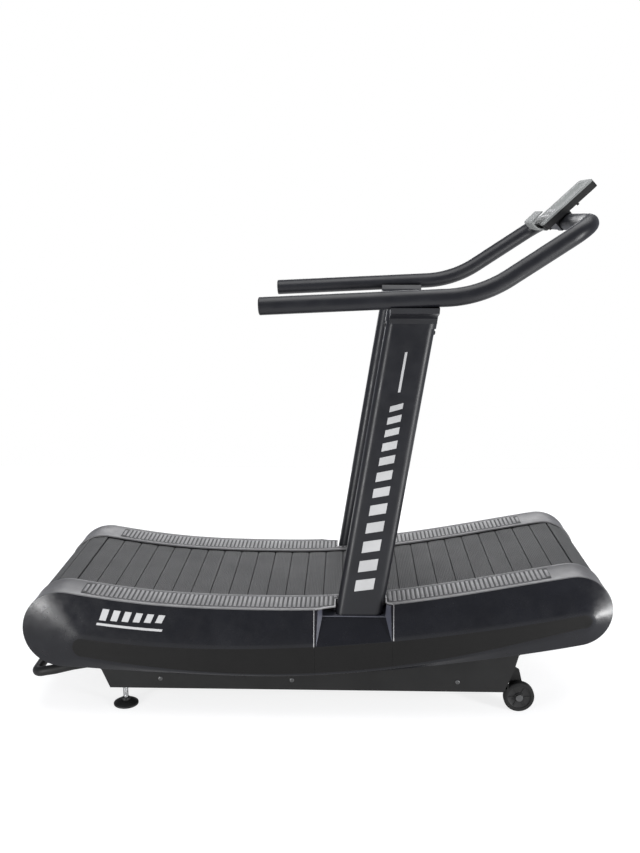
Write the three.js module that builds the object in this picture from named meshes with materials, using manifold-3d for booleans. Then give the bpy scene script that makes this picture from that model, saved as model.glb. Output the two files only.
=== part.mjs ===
// Curved manual treadmill, millimetres, +Z up, +X towards the console end, floor at z = 0.
import * as THREE from 'three';
import { ConvexGeometry } from 'three/addons/geometries/ConvexGeometry.js';
import { mergeVertices } from 'three/addons/utils/BufferGeometryUtils.js';
import Module from 'manifold-3d';

const wasm = await Module();
wasm.setup();

// ---------------------------------------------------------------- driving dimensions
const GAP = 0.3;                       // clearance between touching pieces

// Side outline of the deck: two end circles joined by a dished top and a shallow bottom.
const REAR_END = { x: -775.5, z: 279, r: 120 };
const FRONT_END = { x: 784.8, z: 354, r: 110 };
const DECK_DIP = { x: -100, z: 349 };
const BELLY_DIP = { x: -200, z: 133 };

// Widths, measured from the middle plane.
const BELT_HALF = 213;
const RAIL_IN = 219;
const RAIL_OUT = 345;
const COVER_OUT = 366;
const COVER_LOW = 359;
const COVER_WALL = 4;
const PLATE_Y = 320.3;
const PLATE_T = 4;
const RAIL_T = 4;

// Slat belt.
const SLAT_PITCH = 60.5;
const SLAT_GAP = 2.4;
const SLAT_DROP = 5.2;                 // belt surface below the foot rails
const BELT_T = 13;
const GROOVE = 6;

// Uprights and handrail.
const LEAN = THREE.MathUtils.degToRad(9.1);
const POST_FOOT = { x: 134, y: 290, z: 323 };
const POST_W = 142;
const POST_D = 60;
const POST_R = 24;
const POST_WALL = 3;
const POST_DOWN = -226;
const POST_UP = 924;
const BAR_Y = 391;
const BAR_R = 25.4;
const BAR_WALL = 2.5;
const BAR_REAR = { x: -152, z: 1269 };
const BAR_KNEE = { x: 463.3, z: 1298 };
const BAR_FRONT = { x: 768, z: 1498 };
const KNEE_R = 340;
const CORNER_R = 75;

// Console, in its own frame: x up the face, z out of the face.
const CONSOLE = { x: 679, z: 1491.4, tilt: THREE.MathUtils.degToRad(43) };
const FACE_L = 197;
const FACE_W = 180;
const FACE_T = 26;
const BEZEL_T = 6;

// Notch for the uprights in the covers.
const SEAM_REAR = -1;
const SEAM_FRONT = 236;

// Base.
const FOOT = { x: -602, y: 272, r: 39 };
const WHEEL = { x: 634, y0: 270, y1: 294, r: 48 };

const PAINT = ['#2b2c31', 0.42, 0.25];
const COVER = ['#2a2b2f', 0.38, 0.05];
const GREY = ['#8b898b', 0.5, 0.1];
const SLAT = ['#5d5e60', 0.85, 0.0];
const BLACK = ['#1d1d1f', 0.7, 0.05];
const STEEL = ['#b9bcc0', 0.3, 0.9];
const ALLOY = ['#9a9da1', 0.4, 0.8];
const TREAD = ['#161617', 0.8, 0.0];
const GLASS = ['#3c4a46', 0.12, 0.0];
const KEY = ['#c8cacc', 0.5, 0.0];

// ---------------------------------------------------------------- geometry helpers
const model = new THREE.Group();
model.name = 'curved_manual_treadmill';
const V2 = (x, y) => new THREE.Vector2(x, y);
const V3 = (x, y, z) => new THREE.Vector3(x, y, z);

function material([color, roughness, metalness]) {
  return new THREE.MeshStandardMaterial({ color, roughness, metalness });
}

function add(name, geometry, look, parent = model) {
  const mesh = new THREE.Mesh(geometry, material(look));
  mesh.name = name;
  parent.add(mesh);
  return mesh;
}

// Solid from a side outline in (x, z), reaching from y0 to y1.
function prismY(points, y0, y1, holes = []) {
  const outline = points instanceof THREE.Shape ? points.getPoints(3) : [...points];
  if (THREE.ShapeUtils.isClockWise(outline)) {
    outline.reverse();
  }
  const shape = new THREE.Shape(outline);
  shape.holes.push(...holes);
  const options = { depth: y1 - y0, bevelEnabled: false, curveSegments: 12 };
  return new THREE.ExtrudeGeometry(shape, options).rotateX(Math.PI / 2).translate(0, y1, 0);
}

// Solid from a plan outline in (x, y), reaching from z0 to z1.
function prismZ(shape, z0, z1, segments = 4) {
  const options = { depth: z1 - z0, bevelEnabled: false, curveSegments: segments };
  return new THREE.ExtrudeGeometry(shape, options).translate(0, 0, z0);
}

function block(x0, x1, y0, y1, z0, z1) {
  const box = new THREE.BoxGeometry(x1 - x0, y1 - y0, z1 - z0);
  return box.translate((x0 + x1) / 2, (y0 + y1) / 2, (z0 + z1) / 2);
}

function roundRect(w, h, r, cx = 0, cy = 0) {
  const s = new THREE.Shape();
  const x0 = cx - w / 2;
  const x1 = cx + w / 2;
  const y0 = cy - h / 2;
  const y1 = cy + h / 2;
  s.moveTo(x0 + r, y0);
  s.lineTo(x1 - r, y0).absarc(x1 - r, y0 + r, r, -Math.PI / 2, 0, false);
  s.lineTo(x1, y1 - r).absarc(x1 - r, y1 - r, r, 0, Math.PI / 2, false);
  s.lineTo(x0 + r, y1).absarc(x0 + r, y1 - r, r, Math.PI / 2, Math.PI, false);
  s.lineTo(x0, y0 + r).absarc(x0 + r, y0 + r, r, Math.PI, 1.5 * Math.PI, false);
  return s;
}

function circle(x, y, r) {
  return new THREE.Path().absarc(x, y, r, 0, 2 * Math.PI, true);
}

// Cylinder or stepped turning about a line parallel to Y through (x, z).
function turnedY(profile, x, z, segments = 32) {
  const points = profile.map(([r, y]) => V2(r, y));
  return new THREE.LatheGeometry(points, segments).translate(x, 0, z);
}

function rodY(r, y0, y1, x, z, segments = 24) {
  return turnedY([[0, y0], [r, y0], [r, y1], [0, y1]], x, z, segments);
}

function rodZ(r, z0, z1, x, y, segments = 24) {
  return rodY(r, z0, z1, 0, 0, segments).rotateX(Math.PI / 2).translate(x, y, 0);
}

function toManifold(geometry) {
  const g = geometry.clone();
  g.deleteAttribute('normal');
  g.deleteAttribute('uv');
  const merged = mergeVertices(g, 1e-3);
  return new wasm.Manifold(new wasm.Mesh({
    numProp: 3,
    vertProperties: new Float32Array(merged.attributes.position.array),
    triVerts: new Uint32Array(merged.index.array),
  }));
}

function toGeometry(solid) {
  const mesh = solid.getMesh();
  const g = new THREE.BufferGeometry();
  g.setAttribute('position', new THREE.BufferAttribute(new Float32Array(mesh.vertProperties), 3));
  g.setIndex(new THREE.BufferAttribute(new Uint32Array(mesh.triVerts), 1));
  const flat = g.toNonIndexed();
  flat.computeVertexNormals();
  return flat;
}

function join(...parts) {
  return toGeometry(parts.map(toManifold).reduce((a, b) => a.add(b)));
}

function cut(base, ...tools) {
  return toGeometry(tools.map(toManifold).reduce((a, b) => a.subtract(b), toManifold(base)));
}

function common(a, b) {
  return toGeometry(toManifold(a).intersect(toManifold(b)));
}

// The same solid on the other side of the middle plane.
function mirrorY(geometry) {
  const g = geometry.index ? geometry.toNonIndexed() : geometry.clone();
  g.scale(1, -1, 1);
  const p = g.attributes.position;
  for (let i = 0; i < p.count; i += 3) {
    const b = V3().fromBufferAttribute(p, i + 1);
    const c = V3().fromBufferAttribute(p, i + 2);
    p.setXYZ(i + 1, c.x, c.y, c.z);
    p.setXYZ(i + 2, b.x, b.y, b.z);
  }
  g.computeVertexNormals();
  return g;
}

function addPair(name, geometry, look) {
  add(`${name}_left`, geometry, look);
  add(`${name}_right`, mirrorY(geometry), look);
}

// Closed skin through rings of equal point count; the two end rings are filled.
function loft(rings) {
  const n = rings[0].length;
  const points = rings.flat();
  const faces = [];
  for (let k = 0; k + 1 < rings.length; k += 1) {
    for (let i = 0; i < n; i += 1) {
      const a = k * n + i;
      const b = k * n + (i + 1) % n;
      faces.push(a, b, a + n, b, b + n, a + n);
    }
  }
  const last = (rings.length - 1) * n;
  const fill = (ring) => THREE.ShapeUtils.triangulateShape(ring.map((p) => V2(p.x, p.z)), []);
  for (const [a, b, c] of fill(rings[0])) {
    faces.push(a, b, c);
  }
  for (const [a, b, c] of fill(rings[rings.length - 1])) {
    faces.push(last + a, last + c, last + b);
  }
  const g = new THREE.BufferGeometry();
  const flat = points.flatMap((p) => [p.x, p.y, p.z]);
  g.setAttribute('position', new THREE.Float32BufferAttribute(flat, 3));
  g.setIndex(faces);
  return outward(g);
}

// Turns a closed mesh right side out.
function outward(g) {
  const p = g.attributes.position;
  const f = g.index.array;
  let volume = 0;
  for (let i = 0; i < f.length; i += 3) {
    const [a, b, c] = [0, 1, 2].map((k) => V3().fromBufferAttribute(p, f[i + k]));
    volume += a.dot(b.cross(c));
  }
  if (volume < 0) {
    for (let i = 0; i < f.length; i += 3) {
      [f[i + 1], f[i + 2]] = [f[i + 2], f[i + 1]];
    }
  }
  const flat = g.toNonIndexed();
  flat.computeVertexNormals();
  return flat;
}

// Tube of constant bore swept through a list of points.
function pipe(points, outer, inner, segments = 18) {
  const tangents = points.map((p, i) => {
    const a = points[Math.max(i - 1, 0)];
    const b = points[Math.min(i + 1, points.length - 1)];
    return b.clone().sub(a).normalize();
  });
  let side = V3(0, 0, 1).cross(tangents[0]).normalize();
  const rings = points.map((p, i) => {
    side = side.sub(tangents[i].clone().multiplyScalar(side.dot(tangents[i]))).normalize();
    const right = side.clone();
    const up = tangents[i].clone().cross(right);
    return (r) => Array.from({ length: segments }, (_, k) => {
      const a = (2 * Math.PI * k) / segments;
      return p.clone().addScaledVector(right, r * Math.cos(a)).addScaledVector(up, r * Math.sin(a));
    });
  });
  const skin = [...rings.map((ring) => ring(outer)), ...rings.map((ring) => ring(inner)).reverse()];
  const n = segments;
  const faces = [];
  for (let k = 0; k < skin.length; k += 1) {
    const next = ((k + 1) % skin.length) * n;
    for (let i = 0; i < n; i += 1) {
      const a = k * n + i;
      const b = k * n + (i + 1) % n;
      faces.push(a, b, next + i, b, next + (i + 1) % n, next + i);
    }
  }
  const g = new THREE.BufferGeometry();
  const flat = skin.flat().flatMap((p) => [p.x, p.y, p.z]);
  g.setAttribute('position', new THREE.Float32BufferAttribute(flat, 3));
  g.setIndex(faces);
  return outward(g);
}

// ---------------------------------------------------------------- deck outline
function bezier(p, c0, c1, q, n) {
  const curve = new THREE.CubicBezierCurve(V2(...p), V2(...c0), V2(...c1), V2(...q));
  return curve.getPoints(n).slice(0, n);
}

function arc(end, rx, rz, from, to, n) {
  return Array.from({ length: n }, (_, i) => {
    const a = THREE.MathUtils.degToRad(from + ((to - from) * i) / n);
    return V2(end.x + rx * Math.cos(a), end.z + rz * Math.sin(a));
  });
}

const N = { top: 14, arc: 14, low: 8 };
const TOP_COUNT = 2 * N.top;
const onCircle = (end, deg) => {
  const a = THREE.MathUtils.degToRad(deg);
  return [end.x + end.r * Math.cos(a), end.z + end.r * Math.sin(a)];
};

// Clockwise from the rear top: dished top, front end, bottom, rear end.
function deckLoop() {
  const rearTop = onCircle(REAR_END, 80);
  const frontTop = onCircle(FRONT_END, 100);
  const frontLow = onCircle(FRONT_END, -78);
  const rearLow = onCircle(REAR_END, -93.5);
  return [
    ...bezier(rearTop, [-550, 362.5], [-430, DECK_DIP.z], [DECK_DIP.x, DECK_DIP.z], N.top),
    ...bezier([DECK_DIP.x, DECK_DIP.z], [230, DECK_DIP.z], [512.7, 418.8], frontTop, N.top),
    ...arc(FRONT_END, FRONT_END.r, FRONT_END.r, 100, -78, N.arc),
    ...bezier(frontLow, [566, 196.5], [120, BELLY_DIP.z], [BELLY_DIP.x, BELLY_DIP.z], N.low),
    ...bezier([BELLY_DIP.x, BELLY_DIP.z], [-400, BELLY_DIP.z], [-640, 151], rearLow, N.low),
    ...arc(REAR_END, REAR_END.r, REAR_END.r, 266.5, 80, N.arc),
  ];
}

// Flat panel on the side cover, point for point with deckLoop.
function panelLoop() {
  const rear = { x: -713, z: 227.5 };
  const front = { x: 805, z: 329 };
  return [
    ...bezier([rear.x, 265], [-555, 243], [-420, 237], [-300, 237], N.top),
    ...bezier([-300, 237], [130, 237], [540, 302], [front.x, 358], N.top),
    ...arc(front, 32, 29, 90, -90, N.arc),
    ...bezier([front.x, 300], [560, 235], [250, 137], [-200, 140], N.low),
    ...bezier([-200, 140], [-420, 143], [-600, 170], [rear.x, 190], N.low),
    ...arc(rear, 33, 37.5, 270, 90, N.arc),
  ];
}

function inset(loop, depth) {
  const n = loop.length;
  return loop.map((p, i) => {
    const t = loop[(i + 1) % n].clone().sub(loop[(i + n - 1) % n]).normalize();
    return V2(p.x + t.y * depth, p.y - t.x * depth);
  });
}

const DECK = deckLoop();
const PANEL = panelLoop();

// Height of the deck outline's top at x.
function topZ(x) {
  const i = DECK.findIndex((p, k) => k < TOP_COUNT && DECK[k + 1].x >= x);
  const [a, b] = [DECK[i], DECK[i + 1]];
  return a.y + ((x - a.x) * (b.y - a.y)) / (b.x - a.x);
}

// A strip of the outline between two loop indices, thickness t, starting at depth d.
function band(first, last, d, t) {
  const pick = (loop) => {
    const out = [];
    for (let i = first; i <= last; i += 1) {
      out.push(loop[(i + loop.length) % loop.length]);
    }
    return out;
  };
  return [...pick(inset(DECK, d)), ...pick(inset(DECK, d + t)).reverse()];
}

// ---------------------------------------------------------------- base frame
const REAR_BEAM = { x: -602, w: 50, z0: 84.3, z1: 132 };
const FRONT_BEAM = { x: 570, w: 50, z0: 84.3, z1: 132 };
const INNER_BEAMS = [{ x: -400, w: 40, z0: 240, z1: 280 }, { x: 420, w: 40, z0: 270, z1: 310 }];
const BEAM_WALL = 3;
const BEAM_HALF = 320;
const STEM_R = 8;
const STEM_TOP = 118;
const AXLE_R = 15;
const DRUM_DEPTH = SLAT_DROP + BELT_T + GAP;

function sidePlate() {
  const loop = inset(DECK, 26);
  const rim = [];
  for (let i = -15; i <= 43; i += 1) {
    rim.push(loop[(i + loop.length) % loop.length]);
  }
  const keel = [[623, 201], [610, 151], [581, 80], [-638, 80], [-663, 139]].map((p) => V2(...p));
  const holes = [-480, -72, 438].map((x) => circle(x, 112, 5));
  for (const end of [REAR_END, FRONT_END]) {
    holes.push(circle(end.x, end.z, AXLE_R + 3));
  }
  const plate = prismY([...rim, ...keel], PLATE_Y, PLATE_Y + PLATE_T, holes);
  const flange = block(-638, 581, 292, PLATE_Y + 2, 80, 84);
  return cut(join(plate, flange), block(13, 223, 315, 330, 316, 420));
}

function beam({ x, w, z0, z1 }) {
  const outer = [V2(x - w / 2, z0), V2(x + w / 2, z0), V2(x + w / 2, z1), V2(x - w / 2, z1)];
  const t = BEAM_WALL;
  const [a, b] = [x - w / 2 + t, x + w / 2 - t];
  const inner = [V2(a, z0 + t), V2(b, z0 + t), V2(b, z1 - t), V2(a, z1 - t)];
  return prismY(outer, -BEAM_HALF, BEAM_HALF, [new THREE.Path(inner)]);
}

function rearBeam() {
  const stems = [-FOOT.y, FOOT.y].map((y) => rodZ(STEM_R + GAP, 70, 150, FOOT.x, y));
  return cut(beam(REAR_BEAM), ...stems);
}

function wheelLug(y0, y1) {
  const outline = [[550, 90], [550, 131], [600, 150], [636, 128], [652, 62], [650, 44], [640, 33],
    [626, 33], [616, 44], [604, 86]].map((p) => V2(...p));
  return prismY(outline, y0, y1, [circle(WHEEL.x, WHEEL.r, 6 + GAP)]);
}

function frontBeam() {
  return join(beam(FRONT_BEAM), wheelLug(258, 267), wheelLug(-267, -258));
}

function rearHandle() {
  const [tube, bend] = [15, 30];
  const half = [V3(-602, 280, 148), V3(-690, 282, 147), V3(-760, 296, 140), V3(-815, 299, 127)];
  for (let i = 0; i <= 6; i += 1) {
    const a = (Math.PI / 2) * (i / 6);
    half.push(V3(-849.5 - bend * Math.sin(a), 269 + bend * Math.cos(a), 121 - 8 * Math.sin(a)));
  }
  const other = half.map((p) => V3(p.x, -p.y, p.z)).reverse();
  return pipe([...half, ...other], tube, tube - 2.5, 12);
}

function levellingFoot() {
  const profile = [[0, 0], [FOOT.r, 0], [FOOT.r, 7], [30, 12], [13, 15], [13, 24], [STEM_R, 24],
    [STEM_R, STEM_TOP], [0, STEM_TOP]];
  return turnedY(profile, 0, 0, 24).rotateX(Math.PI / 2).translate(FOOT.x, FOOT.y, 0);
}

function lockNut() {
  const hex = new THREE.Shape(Array.from({ length: 6 }, (_, i) => {
    const a = (i * Math.PI) / 3;
    return V2(FOOT.x + 14 * Math.cos(a), FOOT.y + 14 * Math.sin(a));
  }));
  hex.holes.push(circle(FOOT.x, FOOT.y, STEM_R + GAP));
  return prismZ(hex, 71, 84, 10);
}

function transportWheel() {
  const { x, y0, y1, r } = WHEEL;
  const profile = [[6.15, y0], [14, y0], [36, y0 + 4], [36, y0], [r - 4, y0], [r, y0 + 4], [r, y1 - 4],
    [r - 4, y1], [36, y1], [36, y1 - 4], [14, y1], [6.15, y1], [6.15, y0]];
  return turnedY(profile, x, r, 28);
}

function wheelBolt() {
  const profile = [[0, 250], [11, 250], [11, 257], [6, 257], [6, 294.5], [11, 294.5], [11, 300], [0, 300]];
  return turnedY(profile, WHEEL.x, WHEEL.r, 16);
}

function buildBase() {
  addPair('side_frame', sidePlate(), PAINT);
  add('crossmember_rear', rearBeam(), PAINT);
  add('crossmember_front', frontBeam(), PAINT);
  INNER_BEAMS.forEach((b, i) => add(`crossmember_inner_${i + 1}`, beam(b), PAINT));
  add('rear_handle', rearHandle(), PAINT);
  addPair('levelling_foot', levellingFoot(), BLACK);
  addPair('lock_nut', lockNut(), STEEL);
  addPair('transport_wheel', transportWheel(), TREAD);
  addPair('wheel_bolt', wheelBolt(), STEEL);
}

// ---------------------------------------------------------------- running gear
function drum(end) {
  const r = end.r - DRUM_DEPTH;
  const profile = [[0, -316], [AXLE_R, -316], [AXLE_R, -186], [r, -186], [r, -150], [38, -150], [38, 150],
    [r, 150], [r, 186], [AXLE_R, 186], [AXLE_R, 316], [0, 316]];
  return turnedY(profile, end.x, end.z, 32);
}

function bearingBlock(end) {
  const outline = roundRect(84, 64, 10, end.x, end.z);
  return prismY(outline, 290, BEAM_HALF, [circle(end.x, end.z, AXLE_R + GAP)]);
}

const ROLLER = { r: 20, pin: 6, xs: [-250, 300] };

function rollerZ(x) {
  return topZ(x) - DRUM_DEPTH - ROLLER.r - 1;
}

function track() {
  const strip = prismY(band(3, 25, 22, 38), 186, 190);
  const tops = [305, 350];
  const legs = INNER_BEAMS.map((b, i) => block(b.x - 15, b.x + 15, 186, 190, b.z1 + GAP, tops[i]));
  const pins = ROLLER.xs.map((x) => rodY(ROLLER.pin, 188, 211, x, rollerZ(x), 16));
  return join(strip, ...legs, ...pins);
}

function guideRoller(x) {
  const b = ROLLER.pin + 0.15;
  const profile = [[b, 193], [ROLLER.r, 193], [ROLLER.r, 209], [b, 209], [b, 193]];
  return turnedY(profile, x, rollerZ(x), 20);
}

// Closed centre line of the slat belt before insetting.
function beltLoop() {
  const frontLow = onCircle(FRONT_END, -78);
  return [
    ...DECK.slice(0, TOP_COUNT),
    ...arc(FRONT_END, FRONT_END.r, FRONT_END.r, 100, -78, 24),
    ...bezier(frontLow, [560, 195], [-300, 159], [REAR_END.x, REAR_END.z - REAR_END.r], 16),
    ...arc(REAR_END, REAR_END.r, REAR_END.r, 270, 80, 24),
  ];
}

// Point at distance s round a closed loop.
function walker(loop) {
  const n = loop.length;
  const marks = [0];
  loop.forEach((p, i) => marks.push(marks[i] + p.distanceTo(loop[(i + 1) % n])));
  const total = marks[n];
  const at = (s) => {
    const d = ((s % total) + total) % total;
    const i = marks.findIndex((m, k) => k < n && marks[k + 1] > d);
    return loop[i].clone().lerp(loop[(i + 1) % n], (d - marks[i]) / (marks[i + 1] - marks[i]));
  };
  return { total, at };
}

function slatBelt() {
  const base = beltLoop();
  const outer = walker(inset(base, SLAT_DROP));
  const root = walker(inset(base, SLAT_DROP + GROOVE));
  const count = Math.round(outer.total / SLAT_PITCH);
  const seam = 0.5 * (SLAT_GAP / SLAT_PITCH);
  const points = [];
  for (let i = 0; i < count; i += 1) {
    const s = (i + seam) / count;
    const e = (i + 1 - seam) / count;
    points.push(root.at(s * root.total));
    points.push(outer.at(s * outer.total), outer.at(((s + e) / 2) * outer.total), outer.at(e * outer.total));
    points.push(root.at(e * root.total));
  }
  const inner = new THREE.Path(inset(base, SLAT_DROP + BELT_T).reverse());
  return prismY(points, -BELT_HALF, BELT_HALF, [inner]);
}

function buildRunningGear() {
  add('slat_belt', slatBelt(), SLAT);
  add('drum_front', drum(FRONT_END), ALLOY);
  add('drum_rear', drum(REAR_END), ALLOY);
  addPair('bearing_block_front', bearingBlock(FRONT_END), BLACK);
  addPair('bearing_block_rear', bearingBlock(REAR_END), BLACK);
  addPair('belt_track', track(), STEEL);
  ROLLER.xs.forEach((x, i) => addPair(`guide_roller_${i + 1}`, guideRoller(x), BLACK));
}

// ---------------------------------------------------------------- covers
const NOTCH = [[3, 346.5], [233, 346.5], [220, 330], [214.5, 322], [214.5, 258], [62, 258], [62, 322],
  [26, 330]];
const RIB = { pitch: 28, w: 14, h: 1.2, y0: 236, y1: 322, from: -709, to: 692 };

function footRail() {
  const strip = prismY(band(-13, 41, 0, RAIL_T), RAIL_IN, RAIL_OUT);
  const ribs = [];
  for (let x = RIB.from; x <= RIB.to; x += RIB.pitch) {
    const [a, b] = [x, x + RIB.w];
    const top = [V2(a, topZ(a) - 2), V2(a, topZ(a) + RIB.h), V2(b, topZ(b) + RIB.h), V2(b, topZ(b) - 2)];
    ribs.push(toManifold(prismY(top, RIB.y0, RIB.y1)));
  }
  const whole = ribs.reduce((a, b) => a.add(b), toManifold(strip));
  const notch = prismZ(new THREE.Shape(NOTCH.map((p) => V2(...p))), 300, 420);
  return toGeometry(whole.subtract(toManifold(notch)));
}

function endGuard(first, last) {
  return prismY(band(first, last, 0, 2.4), -(RAIL_IN - GAP), RAIL_IN - GAP);
}

// Ring of points with the width running from the panel's top to its bottom edge.
function ring(loop, yTop, yLow = yTop) {
  return loop.map((p, i) => {
    const low = i >= 2 * N.top + N.arc / 2 && i < 2 * N.top + 1.5 * N.arc + 2 * N.low;
    return V3(p.x, low ? yLow : yTop, p.y);
  });
}

function coverSolid() {
  const seat = inset(DECK, RAIL_T + 0.6);
  return loft([ring(seat, 327.5), ring(seat, RAIL_OUT + 0.3), ring(DECK, RAIL_OUT + 0.8),
    ring(PANEL, COVER_OUT, COVER_LOW)]);
}

function coverHollow() {
  const w = COVER_WALL;
  const seat = inset(DECK, RAIL_T + 0.6 + w);
  const floor = ring(inset(PANEL, w), COVER_OUT - w, COVER_LOW - w);
  return loft([ring(seat, 320), ring(seat, RAIL_OUT + 0.3), floor]);
}

// Pocket that lets the upright stand inside the line of the covers.
function pocket(grow) {
  const g = grow;
  const [a, b] = [4 - g, 232 + g];
  const points = [V3(a, 367 - g, 239 - g), V3(b, 367 - g, 260 - g), V3(22 - g, 325 - g, 325 - g),
    V3(214 + g, 325 - g, 325 - g), V3(22 - g, 325 - g, 420), V3(214 + g, 325 - g, 420), V3(a, 346 - g, 420),
    V3(b, 346 - g, 420), V3(a, 380, 239 - g), V3(b, 380, 260 - g), V3(a, 380, 420), V3(b, 380, 420)];
  return new ConvexGeometry(points);
}

function shroud() {
  const outline = [[14, 344], [20, 321], [216, 321], [221, 350], [217.5, 350.5], [213.5, 325], [22.5, 325],
    [17, 344.5]].map((p) => V2(...p));
  return cut(prismY(outline, 256.5, 326.5), postSolid(0.6, -100, 200));
}

function buildCovers() {
  const solid = coverSolid();
  const hollow = coverHollow();
  const slice = (x0, x1) => block(x0, x1, 300, 400, 0, 700);
  const [r, f] = [SEAM_REAR, SEAM_FRONT];
  const shell = cut(solid, hollow);
  addPair('cover_rear', common(shell, slice(-1000, r)), COVER);
  addPair('cover_front', common(shell, slice(f, 1000)), COVER);
  const middle = cut(common(solid, slice(r + GAP, f - GAP)), pocket(0));
  addPair('cover_centre', cut(middle, cut(hollow, pocket(4))), COVER);
  addPair('foot_rail', footRail(), GREY);
  addPair('upright_shroud', shroud(), GREY);
  add('end_guard_rear', endGuard(56, 64), GREY);
  add('end_guard_front', endGuard(36, 44), GREY);
}

// ---------------------------------------------------------------- uprights and handrail
function leaning(geometry) {
  return geometry.rotateY(LEAN).translate(POST_FOOT.x, POST_FOOT.y, POST_FOOT.z);
}

function postSolid(grow, z0, z1) {
  return leaning(prismZ(roundRect(POST_W + 2 * grow, POST_D + 2 * grow, POST_R + grow), z0, z1, 3));
}

function post() {
  const shape = roundRect(POST_W, POST_D, POST_R);
  const bore = roundRect(POST_W - 2 * POST_WALL, POST_D - 2 * POST_WALL, POST_R - POST_WALL);
  shape.holes.push(new THREE.Path(bore.getPoints(3).reverse()));
  return leaning(prismZ(shape, POST_DOWN, POST_UP, 3));
}

// Centre line of one side rail from its rear end to the start of the front corner.
function railPoints() {
  const knee = V2(BAR_KNEE.x, BAR_KNEE.z);
  const back = V2(BAR_REAR.x, BAR_REAR.z);
  const front = V2(BAR_FRONT.x, BAR_FRONT.z);
  const u = knee.clone().sub(back).normalize();
  const v = front.clone().sub(knee).normalize();
  const turn = u.angleTo(v);
  const reach = KNEE_R * Math.tan(turn / 2);
  const start = knee.clone().addScaledVector(u, -reach);
  const centre = start.clone().add(V2(-u.y, u.x).multiplyScalar(KNEE_R));
  const out = [back];
  const steps = 8;
  for (let i = 0; i <= steps; i += 1) {
    const a = (turn * i) / steps;
    const arm = V2(u.y, -u.x).multiplyScalar(KNEE_R).rotateAround(V2(0, 0), a);
    out.push(centre.clone().add(arm));
  }
  out.push(front.clone().addScaledVector(v, -CORNER_R));
  return { side: out, rise: v };
}

function handrailPath() {
  const { side, rise } = railPoints();
  const half = side.map((p) => V3(p.x, BAR_Y, p.y));
  const d = V3(rise.x, 0, rise.y);
  const pivot = V3(BAR_FRONT.x, BAR_Y - CORNER_R, BAR_FRONT.z).addScaledVector(d, -CORNER_R);
  for (let i = 1; i <= 7; i += 1) {
    const a = (Math.PI / 2) * (i / 7);
    const out = V3(0, CORNER_R * Math.cos(a), 0);
    half.push(pivot.clone().addScaledVector(d, CORNER_R * Math.sin(a)).add(out));
  }
  return [...half, ...half.map((p) => V3(p.x, -p.y, p.z)).reverse()];
}

function barTool(r) {
  const a = V3(BAR_REAR.x, 0, BAR_REAR.z);
  const slope = Math.atan2(BAR_KNEE.z - BAR_REAR.z, BAR_KNEE.x - BAR_REAR.x);
  const rod = new THREE.CylinderGeometry(r, r, 560, 24).rotateZ(-Math.PI / 2).rotateY(-slope);
  return rod.translate(a.x + 280 * Math.cos(slope), BAR_Y, a.z + 280 * Math.sin(slope));
}

// Socket over the upright's top with an arm that cradles the side rail.
function sleeve() {
  const collar = leaning(prismZ(roundRect(POST_W + 7, POST_D + 7, POST_R + 3), 897, 938, 3));
  const profile = [[262, 1244], [262, 1252], [338, 1267], [350, 1280], [364, 1280], [366, 1270], [412, 1266],
    [404, 1250], [384, 1244], [356, 1239], [338, 1230], [327, 1214], [300, 1212]];
  const arm = prismZ(new THREE.Shape(profile.map((p) => V2(...p))), -68, 68);
  arm.rotateX(Math.PI / 2).rotateZ(Math.PI / 2);
  const top = POST_FOOT.x + (1245 - POST_FOOT.z) * Math.tan(LEAN);
  arm.translate(top, 0, 0);
  return cut(join(collar, arm), postSolid(GAP, 800, 925), barTool(BAR_R + GAP));
}

function endPlug() {
  const slope = Math.atan2(BAR_KNEE.z - BAR_REAR.z, BAR_KNEE.x - BAR_REAR.x);
  const profile = [[0, -4], [BAR_R - 2, -4], [BAR_R, -2], [BAR_R, -GAP], [21, -GAP], [21, 16], [0, 16]];
  const plug = new THREE.LatheGeometry(profile.map(([r, y]) => V2(r, y)), 20);
  plug.rotateZ(-Math.PI / 2).rotateY(-slope);
  return plug.translate(BAR_REAR.x, BAR_Y, BAR_REAR.z);
}

function buildHandrail() {
  addPair('upright', post(), PAINT);
  addPair('upright_sleeve', sleeve(), PAINT);
  add('handrail', pipe(handrailPath(), BAR_R, BAR_R - BAR_WALL, 16), PAINT);
  addPair('handrail_plug', endPlug(), BLACK);
}

// ---------------------------------------------------------------- console
const LENS = { x: 132, w: 104, d: 78, t: 2.5 };
const KEYS = { xs: [34, 58], ys: [-34, 0, 34], r: 7.5, rise: 1.4 };
const BRACKET = { x: 68.5, w: 60, d: 64 };

function plateXY(w, d, r, x, z0, z1) {
  return prismZ(roundRect(w, d, r, x, 0), z0, z1, 3);
}

function bezel() {
  const plate = plateXY(FACE_L, FACE_W, 14, FACE_L / 2, -BEZEL_T, 0);
  const step = plateXY(LENS.w, LENS.d, 5, LENS.x, -LENS.t - GAP, 1);
  const window = plateXY(LENS.w - 10, LENS.d - 10, 3, LENS.x, -10, 1);
  const holes = KEYS.xs.flatMap((x) => KEYS.ys.map((y) => rodZ(KEYS.r + GAP, -10, 1, x, y, 18)));
  return cut(plate, step, window, ...holes);
}

function backShell() {
  const body = plateXY(FACE_L, FACE_W, 14, FACE_L / 2, -FACE_T, -BEZEL_T - GAP);
  const bowl = plateXY(FACE_L - 6, FACE_W - 6, 11, FACE_L / 2, 3 - FACE_T, 0);
  const screws = [];
  for (const x of [14, 122]) {
    for (const y of [-62, 62]) {
      screws.push(rodZ(4, -FACE_T - 8, 3.5 - FACE_T, x, y, 12));
    }
  }
  return join(cut(body, bowl), ...screws);
}

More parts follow.
